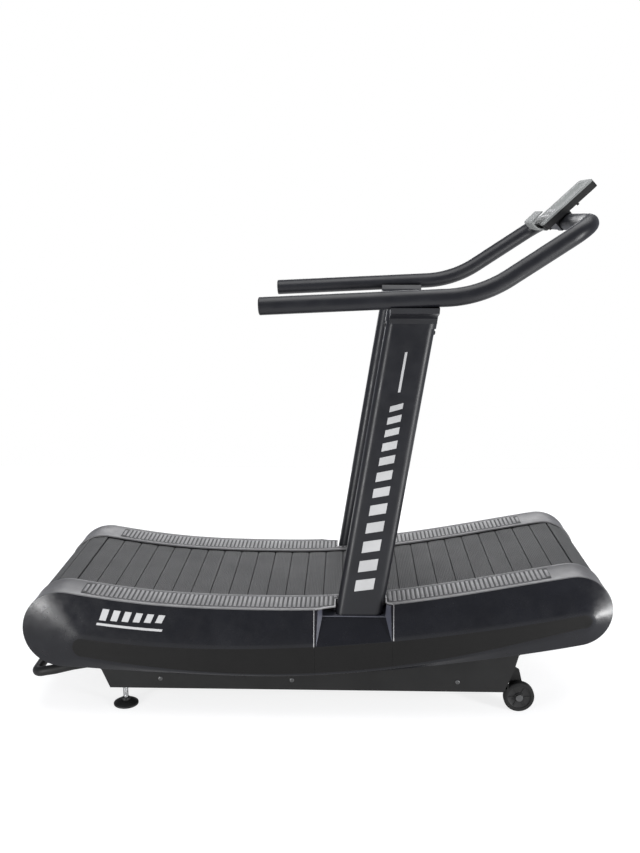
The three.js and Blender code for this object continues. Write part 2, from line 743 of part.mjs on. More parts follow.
function bracket() {
  const arm = block(BRACKET.x - 28, BRACKET.x + 28, -BRACKET.w / 2, BRACKET.w / 2, -66, -FACE_T - GAP);
  const dx = BAR_FRONT.x - CONSOLE.x;
  const dz = BAR_FRONT.z - CONSOLE.z;
  const [c, s] = [Math.cos(CONSOLE.tilt), Math.sin(CONSOLE.tilt)];
  const bar = rodY(BAR_R + GAP, -60, 60, dx * c + dz * s, -dx * s + dz * c, 30);
  return cut(arm, bar);
}

function ledge() {
  const outline = [[-0.3, -22], [-8, -19], [-17, -3], [-18, 22], [-14, 25], [30, 26], [30, 22.5], [-13, 20],
    [-13, -1], [-5, -14], [-0.3, -16]].map((p) => V2(...p));
  return prismY(outline, -62, 62);
}

function key(x, y) {
  const profile = [[0, -5], [KEYS.r, -5], [KEYS.r, 0.6], [KEYS.r - 1, KEYS.rise], [0, KEYS.rise]];
  return turnedY(profile, 0, 0, 16).rotateX(Math.PI / 2).translate(x, y, 0);
}

function buildConsole() {
  const group = new THREE.Group();
  group.name = 'console';
  group.position.set(CONSOLE.x, 0, CONSOLE.z);
  group.rotation.y = -CONSOLE.tilt;
  model.add(group);
  add('console_bezel', bezel(), PAINT, group);
  add('console_back', backShell(), BLACK, group);
  add('console_lens', plateXY(LENS.w - 2 * GAP, LENS.d - 2 * GAP, 4.7, LENS.x, -LENS.t, 0), GLASS, group);
  add('console_bracket', bracket(), PAINT, group);
  add('phone_ledge', ledge(), BLACK, group);
  add('battery_cover', plateXY(56, 80, 6, 148, -FACE_T - 3, -FACE_T - GAP), BLACK, group);
  KEYS.xs.forEach((x, i) => KEYS.ys.forEach((y, j) => {
    add(`console_key_${i * KEYS.ys.length + j + 1}`, key(x, y), KEY, group);
  }));
}

buildBase();
buildRunningGear();
buildCovers();
buildHandrail();
buildConsole();

export default model;
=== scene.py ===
"""Looks of a curved manual treadmill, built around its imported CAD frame.

Points are in millimetres and MM makes them metres. Lights and camera are placed in metres.
"""
import math
from contextlib import contextmanager

import bmesh
import bpy
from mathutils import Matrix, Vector


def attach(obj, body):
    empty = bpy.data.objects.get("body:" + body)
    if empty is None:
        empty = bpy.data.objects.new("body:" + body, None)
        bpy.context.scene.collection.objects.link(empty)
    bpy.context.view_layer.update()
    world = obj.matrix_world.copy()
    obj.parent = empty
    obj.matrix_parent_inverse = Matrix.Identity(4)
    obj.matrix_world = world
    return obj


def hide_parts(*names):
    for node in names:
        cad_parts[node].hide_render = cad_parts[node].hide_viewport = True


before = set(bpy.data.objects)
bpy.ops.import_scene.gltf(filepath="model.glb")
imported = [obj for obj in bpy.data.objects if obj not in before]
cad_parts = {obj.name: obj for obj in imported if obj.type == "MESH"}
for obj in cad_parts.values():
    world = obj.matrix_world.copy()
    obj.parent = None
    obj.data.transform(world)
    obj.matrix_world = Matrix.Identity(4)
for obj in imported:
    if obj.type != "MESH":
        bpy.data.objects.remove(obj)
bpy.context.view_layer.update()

# Millimetres in metres, and how close points lie, in metres, when they are joined into one.
MM = 0.001
WELD = 0.00002
SIDES = (("left", 1), ("right", -1))

# Side outline of the deck: two end circles (x, z, radius), a dished top and a shallow bottom.
REAR_END = (-775.5, 279.0, 120.0)
FRONT_END = (784.8, 354.0, 110.0)
DIP = (-100.0, 349.0)
BELLY = (-200.0, 133.0)
# Side outline of the cover's flat panel: two end ellipses (x, z, and both radii), a top and a bottom.
REAR_PANEL = (-713.0, 227.5, 33.0, 37.5)
FRONT_PANEL = (805.0, 329.0, 32.0, 29.0)
PANEL_DIP = (-300.0, 237.0)
PANEL_BELLY = (-200.0, 140.0)

# Degrees round the end circles where the top and the bottom of the deck leave them.
REAR_TOP, REAR_LOW = 80.0, 266.5
FRONT_TOP, FRONT_LOW = 100.0, -78.0

# Points along each part of the outline, and the indices where the parts begin.
TOP_STEPS = 56
ARC_STEPS = 42
FRONT_ARC = 2 * TOP_STEPS
LOW_START = FRONT_ARC + ARC_STEPS
REAR_ARC = LOW_START + 2 * TOP_STEPS

# Rails and covers: widths from the middle plane, the rail's thickness, and the cover's seams along x.
RAIL_IN, RAIL_OUT, RAIL_T = 219.0, 345.0, 4.0
COVER_IN, COVER_EDGE, COVER_TOP, COVER_LOW = 327.5, 345.6, 366.0, 359.0
SEAM_REAR, SEAM_FRONT, GAP = -1.0, 236.0, 0.3

# Belt.
BELT_HALF = 213.0
SLAT_COUNT_PITCH = 60.5
SLAT_TOP, SLAT_FOOT, CARRIER_IN = 5.2, 11.3, 18.2
SLAT_GAP = 1.9
BELT_ARC_STEPS, BELT_LOW_STEPS = 60, 70

# Uprights and handrail.
LEAN = math.radians(9.1)
POST_FOOT = (134.0, 290.0, 323.0)
POST_W, POST_D, POST_R = 142.0, 60.0, 24.0
POST_LOW, POST_TOP, POST_SCREW = -226, 924, 884
BAR_Y, BAR_R = 391.0, 25.4
BAR_REAR, BAR_KNEE, BAR_FRONT = (-152.0, 1269.0), (463.3, 1298.0), (768.0, 1498.0)
KNEE_R, CORNER_R = 340.0, 75.0
CONSOLE = (679.0, 1491.4, math.radians(43))

# Middle of the foot and of the wheel, each (x, width) or (x, radius), and the wheel's two faces.
FOOT = (-602.0, 272.0)
WHEEL = (634.0, 48.0)
WHEEL_IN, WHEEL_OUT = 270.0, 294.0

# Studio: strengths, powers in watts, and the camera that matches the photograph.
ROOM_LIGHT = 0.42
FLOOR_GLOW = 0.78
FLOOR_HALF = 2800.0
FLOOR_STEPS = 12
KEY_POWER = 80.0
SOFTBOX_POWER = 100.0
BACK_POWER = 75.0
STRIP_POWER = 5.0
ROOM_TINT = (0.90, 0.93, 1.04, 1)
LENS_MM, SENSOR_MM = 42.92, 36.0
CAMERA_PLACE = (0.0963, -3.2388, 1.5158)
CAMERA_DIP, CAMERA_TURN = 11.69, 1.60


# ---------------- outlines
def bezier(p, c0, c1, q, steps):
    out = []
    for i in range(steps):
        t = i / steps
        a, b, c, d = (1 - t) ** 3, 3 * t * (1 - t) ** 2, 3 * t * t * (1 - t), t ** 3
        out.append(tuple(a * p[k] + b * c0[k] + c * c1[k] + d * q[k] for k in (0, 1)))
    return out


def arc(x, z, rx, rz, start, stop, steps):
    turn = [math.radians(start + (stop - start) * i / steps) for i in range(steps)]
    return [(x + rx * math.cos(a), z + rz * math.sin(a)) for a in turn]


def on_end(end, degrees):
    a = math.radians(degrees)
    return (end[0] + end[2] * math.cos(a), end[1] + end[2] * math.sin(a))


def deck_top():
    rear, front = on_end(REAR_END, REAR_TOP), on_end(FRONT_END, FRONT_TOP)
    return (bezier(rear, (-550, 362.5), (-430, DIP[1]), DIP, TOP_STEPS)
            + bezier(DIP, (230, DIP[1]), (512.7, 418.8), front, TOP_STEPS))


def end_arc(end, start, stop, steps):
    return arc(end[0], end[1], end[2], end[2], start, stop, steps)


def deck_loop():
    front_low, rear_low = on_end(FRONT_END, FRONT_LOW), on_end(REAR_END, REAR_LOW - 360)
    low = (bezier(front_low, (566, 196.5), (120, BELLY[1]), BELLY, TOP_STEPS)
           + bezier(BELLY, (-400, BELLY[1]), (-640, 151), rear_low, TOP_STEPS))
    return (deck_top() + end_arc(FRONT_END, FRONT_TOP, FRONT_LOW, ARC_STEPS) + low
            + end_arc(REAR_END, REAR_LOW, REAR_TOP, ARC_STEPS))


def panel_loop():
    rx, fx = REAR_PANEL[0], FRONT_PANEL[0]
    top = (bezier((rx, 265), (-555, 243), (-420, PANEL_DIP[1]), PANEL_DIP, TOP_STEPS)
           + bezier(PANEL_DIP, (130, PANEL_DIP[1]), (540, 302), (fx, 358), TOP_STEPS))
    low = (bezier((fx, 300), (560, 235), (250, 137), PANEL_BELLY, TOP_STEPS)
           + bezier(PANEL_BELLY, (-420, 143), (-600, 170), (rx, 190), TOP_STEPS))
    return top + arc(*FRONT_PANEL, 90, -90, ARC_STEPS) + low + arc(*REAR_PANEL, 270, 90, ARC_STEPS)


def tangents(loop):
    n = len(loop)
    out = []
    for i in range(n):
        a, b = loop[i - 1], loop[(i + 1) % n]
        d = math.hypot(b[0] - a[0], b[1] - a[1])
        out.append(((b[0] - a[0]) / d, (b[1] - a[1]) / d))
    return out


def inset(loop, depth):
    """The loop moved inwards by depth."""
    return [(p[0] + t[1] * depth, p[1] - t[0] * depth) for p, t in zip(loop, tangents(loop))]


def between(a, b, share):
    return tuple(p + (q - p) * share for p, q in zip(a, b))


DECK = deck_loop()
PANEL = panel_loop()


def rail_part(first, last, depth):
    """Stretch of the deck outline, by the loop's own index, at a depth below it."""
    loop = inset(DECK, depth)
    return [loop[i % len(loop)] for i in range(first, last + 1)]


def height_at(line, x):
    """Height of a line of points at x, where it first passes over x from rear to front."""
    return next(a[1] + (x - a[0]) * (b[1] - a[1]) / (b[0] - a[0])
                for a, b in zip(line, line[1:]) if a[0] <= x <= b[0])


def top_height(x):
    return height_at(DECK[:FRONT_ARC + 1], x)


# ---------------- meshes
def dress(obj, look, body="frame", nodes=(), smooth=35):
    looks = look if isinstance(look, (list, tuple)) else [look]
    if len(looks) == 1:
        obj.data.materials.clear()
    for material in looks[len(obj.data.materials):]:
        obj.data.materials.append(material)
    obj.data.shade_smooth()
    obj.data.set_sharp_from_angle(angle=math.radians(smooth))
    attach(obj, body)
    if nodes:
        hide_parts(*nodes)


@contextmanager
def editing(obj):
    """The object's mesh, open for changes that are written back at the end."""
    work = bmesh.new()
    work.from_mesh(obj.data)
    yield work
    work.to_mesh(obj.data)
    work.free()


def mesh_object(name, points, faces, marks=None):
    mesh = bpy.data.meshes.new(name)
    mesh.from_pydata([Vector(p) * MM for p in points], [], faces)
    if marks:
        for polygon, mark in zip(mesh.polygons, marks):
            polygon.material_index = mark
    obj = bpy.data.objects.new(name, mesh)
    bpy.context.scene.collection.objects.link(obj)
    with editing(obj) as work:
        bmesh.ops.recalc_face_normals(work, faces=work.faces)
    return obj


def skin(rings, loop=False, caps=True):
    """Points and faces of a skin through rings of equal count."""
    n = len(rings[0])
    points = [p for ring in rings for p in ring]
    faces = []
    spans = len(rings) if loop else len(rings) - 1
    for k in range(spans):
        a, b = k * n, ((k + 1) % len(rings)) * n
        faces += [(a + i, a + (i + 1) % n, b + (i + 1) % n, b + i) for i in range(n)]
    if caps and not loop:
        last = (len(rings) - 1) * n
        faces += [tuple(range(n)), tuple(range(last, last + n))]
    return points, faces


def merge(parts):
    """One list of points and faces from several."""
    points, faces = [], []
    for more, polygons in parts:
        base = len(points)
        points += more
        faces += [tuple(base + i for i in polygon) for polygon in polygons]
    return points, faces


def turned(profile, axis, centre, segments, closed=False):
    """Turned form: profile is (radius, height) along the axis, 'y' or 'z', through centre."""
    rings = []
    for k in range(segments):
        a = 2 * math.pi * k / segments
        c, s = math.cos(a), math.sin(a)
        if axis == "y":
            rings.append([(centre[0] + r * c, centre[1] + h, centre[2] + r * s) for r, h in profile])
        else:
            rings.append([(centre[0] + r * c, centre[1] + r * s, centre[2] + h) for r, h in profile])
    n = len(profile)
    spans = n if closed else n - 1
    points = [p for ring in rings for p in ring]
    faces = []
    for k in range(segments):
        a, b = k * n, ((k + 1) % segments) * n
        faces += [(a + i, a + (i + 1) % n, b + (i + 1) % n, b + i) for i in range(spans)]
    return points, faces


def rod(points, radius, segments):
    """Round bar through points, closed at both ends."""
    rings = []
    path = [Vector(p) for p in points]
    right = None
    for i, p in enumerate(path):
        t = (path[min(i + 1, len(path) - 1)] - path[max(i - 1, 0)]).normalized()
        if right is None:
            right = Vector((0, 0, 1)).cross(t).normalized()
        right = (right - t * right.dot(t)).normalized()
        up = t.cross(right)
        turn = [2 * math.pi * k / segments for k in range(segments)]
        rings.append([tuple(p + right * radius * math.cos(a) + up * radius * math.sin(a)) for a in turn])
    return skin(rings)


def weld(obj):
    with editing(obj) as work:
        bmesh.ops.remove_doubles(work, verts=work.verts, dist=WELD)
        bmesh.ops.dissolve_degenerate(work, edges=work.edges, dist=WELD)
        bmesh.ops.recalc_face_normals(work, faces=work.faces)


def bevel(obj, width, segments, angle):
    modifier = obj.modifiers.new("rounded_edges", "BEVEL")
    modifier.width = width * MM
    modifier.segments = segments
    modifier.limit_method = "ANGLE"
    modifier.angle_limit = math.radians(angle)
    modifier.harden_normals = True
    modifier.use_clamp_overlap = True


def rounded_copy(node, look, width, angle=32):
    """A CAD node's own shape with its edges rounded, shown in place of the node."""
    obj = bpy.data.objects.new(node + "_look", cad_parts[node].data.copy())
    bpy.context.scene.collection.objects.link(obj)
    obj.data.materials.clear()
    with editing(obj) as work:
        bmesh.ops.remove_doubles(work, verts=work.verts, dist=WELD)
        bmesh.ops.dissolve_limit(work, angle_limit=math.radians(0.6), verts=work.verts, edges=work.edges)
    bevel(obj, width, 3, angle)
    dress(obj, look, nodes=[node], smooth=angle)


def mirrored(points, side):
    return [(x, y * side, z) for x, y, z in points]


# ---------------- materials
class Nodes:
    """Small helper that wires one material's nodes."""

    def __init__(self, name):
        self.material = bpy.data.materials.new(name)
        self.material.use_nodes = True
        self.tree = self.material.node_tree
        self.shader = self.tree.nodes["Principled BSDF"]
        self.place = self.tree.nodes.new("ShaderNodeTexCoord").outputs["Object"]

    def add(self, kind, **values):
        node = self.tree.nodes.new("ShaderNode" + kind)
        for key, value in values.items():
            if key in node.inputs:
                node.inputs[key].default_value = value
            else:
                setattr(node, key, value)
        return node

    def link(self, source, target):
        self.tree.links.new(source, target)

    def stretched(self, scale):
        node = self.add("Mapping")
        node.inputs["Scale"].default_value = scale
        self.link(self.place, node.inputs["Vector"])
        return node.outputs["Vector"]

    def noise(self, scale, detail=4.0, rough=0.55, vector=None):
        node = self.add("TexNoise", Scale=scale, Detail=detail, Roughness=rough)
        self.link(vector or self.place, node.inputs["Vector"])
        return node.outputs["Fac"]

    def cells(self, scale):
        node = self.add("TexVoronoi", Scale=scale)
        self.link(self.place, node.inputs["Vector"])
        return node.outputs["Distance"]

    def ramp(self, value, low, high, start=0.0, stop=1.0):
        node = self.add("MapRange")
        for key, number in (("From Min", start), ("From Max", stop), ("To Min", low), ("To Max", high)):
            node.inputs[key].default_value = number
        self.link(value, node.inputs["Value"])
        return node.outputs["Result"]

    def blend(self, amount, dark, light):
        node = self.add("Mix", data_type="RGBA")
        self.link(amount, node.inputs["Factor"])
        for socket, value in ((node.inputs[6], dark), (node.inputs[7], light)):
            if isinstance(value, bpy.types.NodeSocket):
                self.link(value, socket)
            else:
                socket.default_value = (*value, 1)
        return node.outputs[2]

    def bump(self, *layers):
        """Layers of (height, strength, distance in metres), one on the other."""
        last = None
        for height, strength, distance in layers:
            node = self.add("Bump", Strength=strength, Distance=distance)
            self.link(height, node.inputs["Height"])
            if last:
                self.link(last, node.inputs["Normal"])
            last = node.outputs["Normal"]
        self.link(last, self.shader.inputs["Normal"])


def grey(level, tint=(1, 1, 1)):
    return tuple(level * t for t in tint)


def moulded(name, level, tint, rough, grain, spread=0.16, specular=0.5, wear=0.25):
    """Painted or moulded surface: mottled colour, uneven gloss, fine grain and faint scuffs."""
    m = Nodes(name)
    patches = m.noise(9.0, 5.0)
    scuff = m.ramp(m.noise(60.0, 8.0, 0.7, m.stretched((1.0, 1.0, 5.0))), 0.0, wear, 0.60, 0.78)
    base = m.blend(m.ramp(patches, 0.0, 1.0, 0.32, 0.68), grey(level * (1 - spread), tint),
                   grey(level * (1 + spread), tint))
    m.link(m.blend(scuff, base, grey(level * 1.9 + 0.004, tint)), m.shader.inputs["Base Color"])
    m.link(m.ramp(m.noise(26.0, 6.0), rough - 0.06, rough + 0.07, 0.3, 0.7), m.shader.inputs["Roughness"])
    m.bump((m.noise(grain, 3.0, 0.6), 0.22, 0.00025), (m.noise(14.0, 2.0), 0.05, 0.002))
    m.shader.inputs["Specular IOR Level"].default_value = specular
    return m.material


def leather_grain(name, level, tint, rough, cell, specular):
    """Moulded plastic with a pebbled texture."""
    m = Nodes(name)
    patches = m.noise(7.0, 5.0)
    pebbles = m.cells(cell)
    base = m.blend(m.ramp(patches, 0.0, 1.0, 0.3, 0.7), grey(level * 0.88, tint), grey(level * 1.1, tint))
    m.link(m.blend(m.ramp(pebbles, 0.0, 0.25, 0.1, 0.6), base, grey(level * 0.6, tint)),
           m.shader.inputs["Base Color"])
    m.link(m.ramp(m.noise(22.0, 6.0), rough - 0.06, rough + 0.08, 0.3, 0.7), m.shader.inputs["Roughness"])
    m.bump((pebbles, 0.28, 0.0004), (m.noise(cell * 2.2, 3.0), 0.12, 0.0002))
    m.shader.inputs["Specular IOR Level"].default_value = specular
    return m.material


def rubber(name, level, tint, rough):
    """Rubber with a fine crumb, dusty patches and lighter scuffed high spots."""
    m = Nodes(name)
    crumb = m.noise(900.0, 4.0, 0.7)
    dust = m.ramp(m.noise(11.0, 7.0, 0.65), 0.0, 0.55, 0.42, 0.72)
    streak = m.ramp(m.noise(30.0, 5.0, 0.6, m.stretched((6.0, 0.35, 6.0))), 0.0, 0.5, 0.45, 0.75)
    base = m.blend(m.ramp(crumb, 0.0, 1.0, 0.3, 0.7), grey(level * 0.8, tint), grey(level * 1.15, tint))
    worn = m.blend(dust, base, grey(level * 1.35, tint))
    m.link(m.blend(streak, worn, grey(level * 0.78, tint)), m.shader.inputs["Base Color"])
    m.link(m.ramp(dust, rough - 0.08, rough + 0.04, 0.0, 0.5), m.shader.inputs["Roughness"])
    m.bump((crumb, 0.35, 0.0004), (m.noise(160.0, 5.0), 0.15, 0.0006))
    m.shader.inputs["Specular IOR Level"].default_value = 0.35
    return m.material


def metal(name, level, rough, stretch):
    """Bare metal with brushing along one direction and dull handling marks."""
    m = Nodes(name)
    brushing = m.noise(220.0, 6.0, 0.7, m.stretched(stretch))
    marks = m.ramp(m.noise(45.0, 6.0), 0.0, 1.0, 0.35, 0.7)
    m.link(m.blend(marks, grey(level, (0.98, 0.99, 1.0)), grey(level * 0.72)),
           m.shader.inputs["Base Color"])
    m.link(m.ramp(brushing, rough - 0.08, rough + 0.14, 0.3, 0.7), m.shader.inputs["Roughness"])
    m.bump((brushing, 0.12, 0.0002))
    m.shader.inputs["Metallic"].default_value = 0.95
    return m.material


def glossy(name, level, tint, rough):
    """Smooth display window with faint smears."""
    m = Nodes(name)
    smear = m.noise(18.0, 6.0, 0.6, m.stretched((1.0, 2.5, 1.0)))
    m.link(m.blend(m.ramp(smear, 0.0, 1.0, 0.3, 0.7), grey(level * 0.85, tint), grey(level * 1.15, tint)),
           m.shader.inputs["Base Color"])
    m.link(m.ramp(smear, rough, rough + 0.12, 0.35, 0.75), m.shader.inputs["Roughness"])
    m.bump((m.noise(6.0, 2.0), 0.03, 0.001))
    m.shader.inputs["Specular IOR Level"].default_value = 0.15
    return m.material


COOL = (0.90, 0.94, 1.22)
NEUTRAL = (1.0, 1.0, 1.0)
WARM = (1.03, 1.0, 0.98)
RAIL_TINT = (1.0, 0.985, 1.0)
CONSOLE_TINT = (0.97, 1.0, 0.98)
LOOKS = {
    "paint": moulded("charcoal_paint", 0.0070, COOL, 0.38, 900.0, specular=0.34),
    "frame": moulded("frame_paint", 0.0090, NEUTRAL, 0.55, 700.0, specular=0.16),
    # cover and panel are one plastic; the cool blue tint of the upper face is a painted reflection
    "cover": moulded("cover_upper_blue_sheen", 0.0062, COOL, 0.22, 1100.0, specular=0.24),
    "panel": leather_grain("cover_panel", 0.0065, WARM, 0.60, 850.0, specular=0.13),
    "rail": leather_grain("rail_grey", 0.088, RAIL_TINT, 0.46, 620.0, specular=0.45),
    "tread_bar": leather_grain("tread_bar_grey", 0.115, RAIL_TINT, 0.46, 620.0, specular=0.45),
    "groove": rubber("groove_shadow", 0.030, NEUTRAL, 0.75),
    # lip beads: much paler than the rail, a painted highlight along the notch and pocket edges
    "lip": moulded("lip_painted_highlight", 0.26, (1.0, 0.99, 1.0), 0.30, 900.0, specular=0.6),
    # pocket walls: the cover's plastic made paler, as a painted highlight on the pocket's end walls
    "pocket": moulded("pocket_wall", 0.060, COOL, 0.30, 900.0, specular=0.6),
    "shelf": moulded("pocket_shelf", 0.040, COOL, 0.35, 900.0, specular=0.5),
    "dull": metal("dark_fastener", 0.10, 0.45, (1.0, 1.0, 6.0)),
    "slat": rubber("slat_rubber", 0.049, NEUTRAL, 0.78),
    # carrier: black rubber carrier belt, spread near-black over the full width as painted shade in the gaps
    # between slats
    "carrier": rubber("carrier_shade_rubber", 0.006, NEUTRAL, 0.85),
    "tyre": rubber("tyre_rubber", 0.0020, NEUTRAL, 0.90),
    "black": leather_grain("black_plastic", 0.008, NEUTRAL, 0.52, 900.0, specular=0.3),
    "steel": metal("bright_steel", 0.62, 0.28, (1.0, 1.0, 9.0)),
    "alloy": metal("alloy", 0.50, 0.36, (9.0, 1.0, 9.0)),
    "face": moulded("console_face", 0.20, CONSOLE_TINT, 0.72, 1300.0, wear=0.1, specular=0.08),
    "lens": glossy("display_window", 0.11, (0.92, 1.0, 0.95), 0.50),
    "key": moulded("key_plastic", 0.35, NEUTRAL, 0.42, 1500.0, wear=0.1),
    "ledge": moulded("ledge_plastic", 0.20, CONSOLE_TINT, 0.70, 1300.0, specular=0.08),
    "graphic": moulded("printed_graphic", 0.34, NEUTRAL, 0.48, 1200.0, spread=0.08, wear=0.15),
}


# ---------------- side covers
CREASE = 11.0
LIP = 3.2
# Corners of the hollow for the upright in the cover's centre piece: (x, width, height).
POCKET = [(4, 367, 239), (232, 367, 260), (22, 325, 325), (214, 325, 325), (22, 325, 420), (214, 325, 420),
          (4, 346, 420), (232, 346, 420), (4, 380, 239), (232, 380, 260), (4, 380, 420), (232, 380, 420)]


def panel_side(i):
    """Width of the flat panel at loop index i: less along the bottom edge."""
    middle, swing = (COVER_TOP + COVER_LOW) / 2, (COVER_TOP - COVER_LOW) / 2
    if i < FRONT_ARC:
        return COVER_TOP
    if i < LOW_START:
        return middle + swing * math.cos(math.pi * (i - FRONT_ARC) / ARC_STEPS)
    if i < REAR_ARC:
        return COVER_LOW
    return middle - swing * math.cos(math.pi * (i - REAR_ARC) / ARC_STEPS)


def curve3(a, b, c, share):
    """Point on the curve that leaves a and reaches c, bent towards b."""
    return between(between(a, b, share), between(b, c, share), share)


def cover_rings():
    """Rings of the cover, from its seat under the rail, over the rim and down the slope, to the panel."""
    seat, soft = inset(DECK, RAIL_T + 0.6), inset(DECK, 1.6)
    flat, inner = inset(PANEL, CREASE), inset(PANEL, CREASE + 3)
    rings = [[(p[0], COVER_IN, p[1]) for p in seat], [(p[0], COVER_EDGE - 0.3, p[1]) for p in seat]]
    columns = []
    for i, (d, p) in enumerate(zip(DECK, PANEL)):
        edge, crease = (d[0], COVER_EDGE, d[1]), (p[0], panel_side(i), p[1])
        start = (soft[i][0], COVER_EDGE - 0.3, soft[i][1])
        length = math.dist(edge, crease)
        shoulder = between(edge, crease, LIP / length)
        ease = between(crease, edge, CREASE / length)
        level = (flat[i][0], crease[1], flat[i][1])
        column = [start] + [curve3(start, edge, shoulder, k / 4) for k in (1, 2, 3)] + [shoulder]
        column += [between(shoulder, ease, k / 4) for k in (1, 2, 3)]
        column += [curve3(ease, crease, level, k / 5) for k in range(6)]
        column.append((inner[i][0], crease[1], inner[i][1]))
        columns.append(column)
    return rings + [[column[k] for column in columns] for k in range(len(columns[0]))]


def cover_skin():
    """The whole side cover as one closed form; the flat panel carries mark 1."""
    rings = cover_rings()
    n = len(DECK)
    points, faces = skin(rings, caps=False)
    marks = [1 if k // n >= len(rings) - 3 else 0 for k in range(len(faces))]
    faces.append(tuple(range(n)))
    marks.append(0)
    base = (len(rings) - 1) * n
    rear, front = REAR_ARC + ARC_STEPS // 2, FRONT_ARC + ARC_STEPS // 2
    half = n - rear + front
    upper = [(rear + j) % n for j in range(half + 1)]
    lower = [rear - j for j in range(half + 1)]
    for j in range(half):
        quad = [base + k for k in (upper[j], upper[j + 1], lower[j + 1], lower[j])]
        faces.append(tuple(dict.fromkeys(quad)))
        marks.append(1)
    return points, faces, marks


def sliced(obj, x, keep):
    """Cuts a closed mesh at x, keeps the side that keep (+1 or -1) points to, and closes it."""
    with editing(obj) as work:
        everything = work.verts[:] + work.edges[:] + work.faces[:]
        made = bmesh.ops.bisect_plane(work, geom=everything, plane_co=(x * MM, 0, 0), plane_no=(-keep, 0, 0),
                                      clear_outer=True)
        edges = [e for e in made["geom_cut"] if isinstance(e, bmesh.types.BMEdge)]
        bmesh.ops.edgeloop_fill(work, edges=edges)
        bmesh.ops.recalc_face_normals(work, faces=work.faces)


def tool(name, points, faces=None):
    """A hidden cutter: the given faces, or the convex hull of the points."""
    obj = mesh_object(name, points, faces or [])
    if not faces:
        with editing(obj) as work:
            bmesh.ops.convex_hull(work, input=work.verts)
            bmesh.ops.recalc_face_normals(work, faces=work.faces)
    return obj


def carve(obj, cutter):
    """Cuts the cutter out of the object and drops the cutter."""
    modifier = obj.modifiers.new("cut", "BOOLEAN")
    modifier.operation = "DIFFERENCE"
    modifier.solver = "EXACT"
    modifier.object = cutter
    depsgraph = bpy.context.evaluated_depsgraph_get()
    mesh = bpy.data.meshes.new_from_object(obj.evaluated_get(depsgraph))
    obj.modifiers.clear()
    obj.data = mesh
    bpy.data.objects.remove(cutter)


def build_cover(label, side):
    points, faces, marks = cover_skin()
    points = mirrored(points, side)
    looks = [LOOKS["cover"], LOOKS["panel"]]
    pieces = {"rear": (None, SEAM_REAR), "centre": (SEAM_REAR + GAP, SEAM_FRONT - GAP),
              "front": (SEAM_FRONT, None)}
    for part, (low, high) in pieces.items():
        obj = mesh_object(f"cover_{part}_{label}_look", points, faces, marks)
        for look in looks:
            obj.data.materials.append(look)
        if low is not None:
            sliced(obj, low, 1)
        if high is not None:
            sliced(obj, high, -1)
        if part == "centre":
            carve(obj, tool("pocket", mirrored(POCKET, side)))
            paint_pocket_wall_highlight(obj)
        bevel(obj, 1.6 if part == "centre" else 1.1, 3, 38)
        dress(obj, looks, nodes=[f"cover_{part}_{label}"], smooth=38)


def paint_pocket_wall_highlight(obj):
    """The two end walls of the pocket are made paler and glossier, like its lip: a painted highlight on these
    walls.
    """
    obj.data.materials.append(LOOKS["pocket"])
    for face in obj.data.polygons:
        x, z = face.center.x / MM, face.center.z / MM
        if abs(face.normal.x) > 0.55 and SEAM_REAR + 3 < x < SEAM_FRONT - 2 and z > 236:
            face.material_index = 2


def cover_marks(label, side):
    """Plain slanted bars on the rear cover's upper face, in place of any wording."""
    bars = []
    for k in range(6):
        x, tall = -655 + 34 * k, 26 - 1.5 * k
        outline = [(x + 12, 0.24), (x + 32, 0.24), (x + 20, 0.24 + tall / 90), (x, 0.24 + tall / 90)]
        bars.append(cover_patch(outline, side))
    bars.append(cover_patch([(-661, 0.60), (-462, 0.60), (-465, 0.66), (-664, 0.66)], side))
    obj = mesh_object(f"cover_graphic_{label}", *merge(bars))
    dress(obj, LOOKS["graphic"])


def cover_patch(outline, side):
    """A thin patch on the cover's sloping face; each corner is (x, share of the way down the slope)."""
    def on_slope(x, share, lift):
        i = min(range(FRONT_ARC), key=lambda k: abs(between(DECK[k], PANEL[k], share)[0] - x))
        a, b = between(DECK[i], PANEL[i], share), between(DECK[i + 1], PANEL[i + 1], share)
        z = a[1] + (x - a[0]) * (b[1] - a[1]) / (b[0] - a[0])
        return (x, side * (COVER_EDGE + (COVER_TOP - COVER_EDGE) * share + lift), z)
    corners = []
    for k, (x, share) in enumerate(outline):
        nx, ns = outline[(k + 1) % len(outline)]
        corners += [(x + (nx - x) * j / 4, share + (ns - share) * j / 4) for j in range(4)]
    return skin([[on_slope(x, share, lift) for x, share in corners] for lift in (-0.4, 0.2)])


# ---------------- foot rails
RIB_PITCH, RIB_W, RIB_H = 14.0, 8.4, 1.2
RIB_Y0, RIB_Y1 = 236.0, 322.0
RIB_FROM, RIB_TO = -709.0, 705.0
BED_STEP, BED_LIFT, BED_THICK, BED_END = 3.5, 0.12, 0.4, 8
# Rear and front of the notch's throat and of its flare, and how far out the tread pattern reaches there.
THROAT, THROAT_REACH = (62, 215), 250.0
FLARE, FLARE_REACH = (20, 228), 316.0
# Outline of the notch for the upright, and the two sides of the bead round it: (x, width).
NOTCH = [(3, 346.5), (233, 346.5), (220, 330), (214.5, 322), (214.5, 258), (62, 258), (62, 322), (26, 330)]
LIP_REAR = [(1.5, 343.0), (8.0, 337.0), (25.0, 328.6), (44.0, 323.2), (60.4, 320.0), (60.4, 262.0)]
LIP_FRONT = [(234.5, 343.0), (229.0, 337.0), (221.5, 329.4), (216.2, 321.0), (216.1, 262.0)]
NOTCH_FLOOR, NOTCH_TOP = 300, 420
# Radius of the bead on the rail and on the pocket's edges, and the height where each edge ends.
LIP_R, EDGE_R = 2.0, 1.9
REAR_EDGE_FOOT, FRONT_EDGE_FOOT = 240.0, 262.0
# Stretches of the deck outline, by its own index.
RAIL_SPAN = (-39, 151)
SKIRT_SPAN = (-22, FRONT_ARC + 22)
REAR_GUARD, FRONT_GUARD = (252, 284), (136, 168)
# Section of the black angle beside the belt, which is painted shade for the gap there.
SKIRT = [(217.2, 3.9), (218.7, 3.9), (218.7, 20.8), (210.6, 20.8), (210.6, 19.4), (217.2, 19.4)]


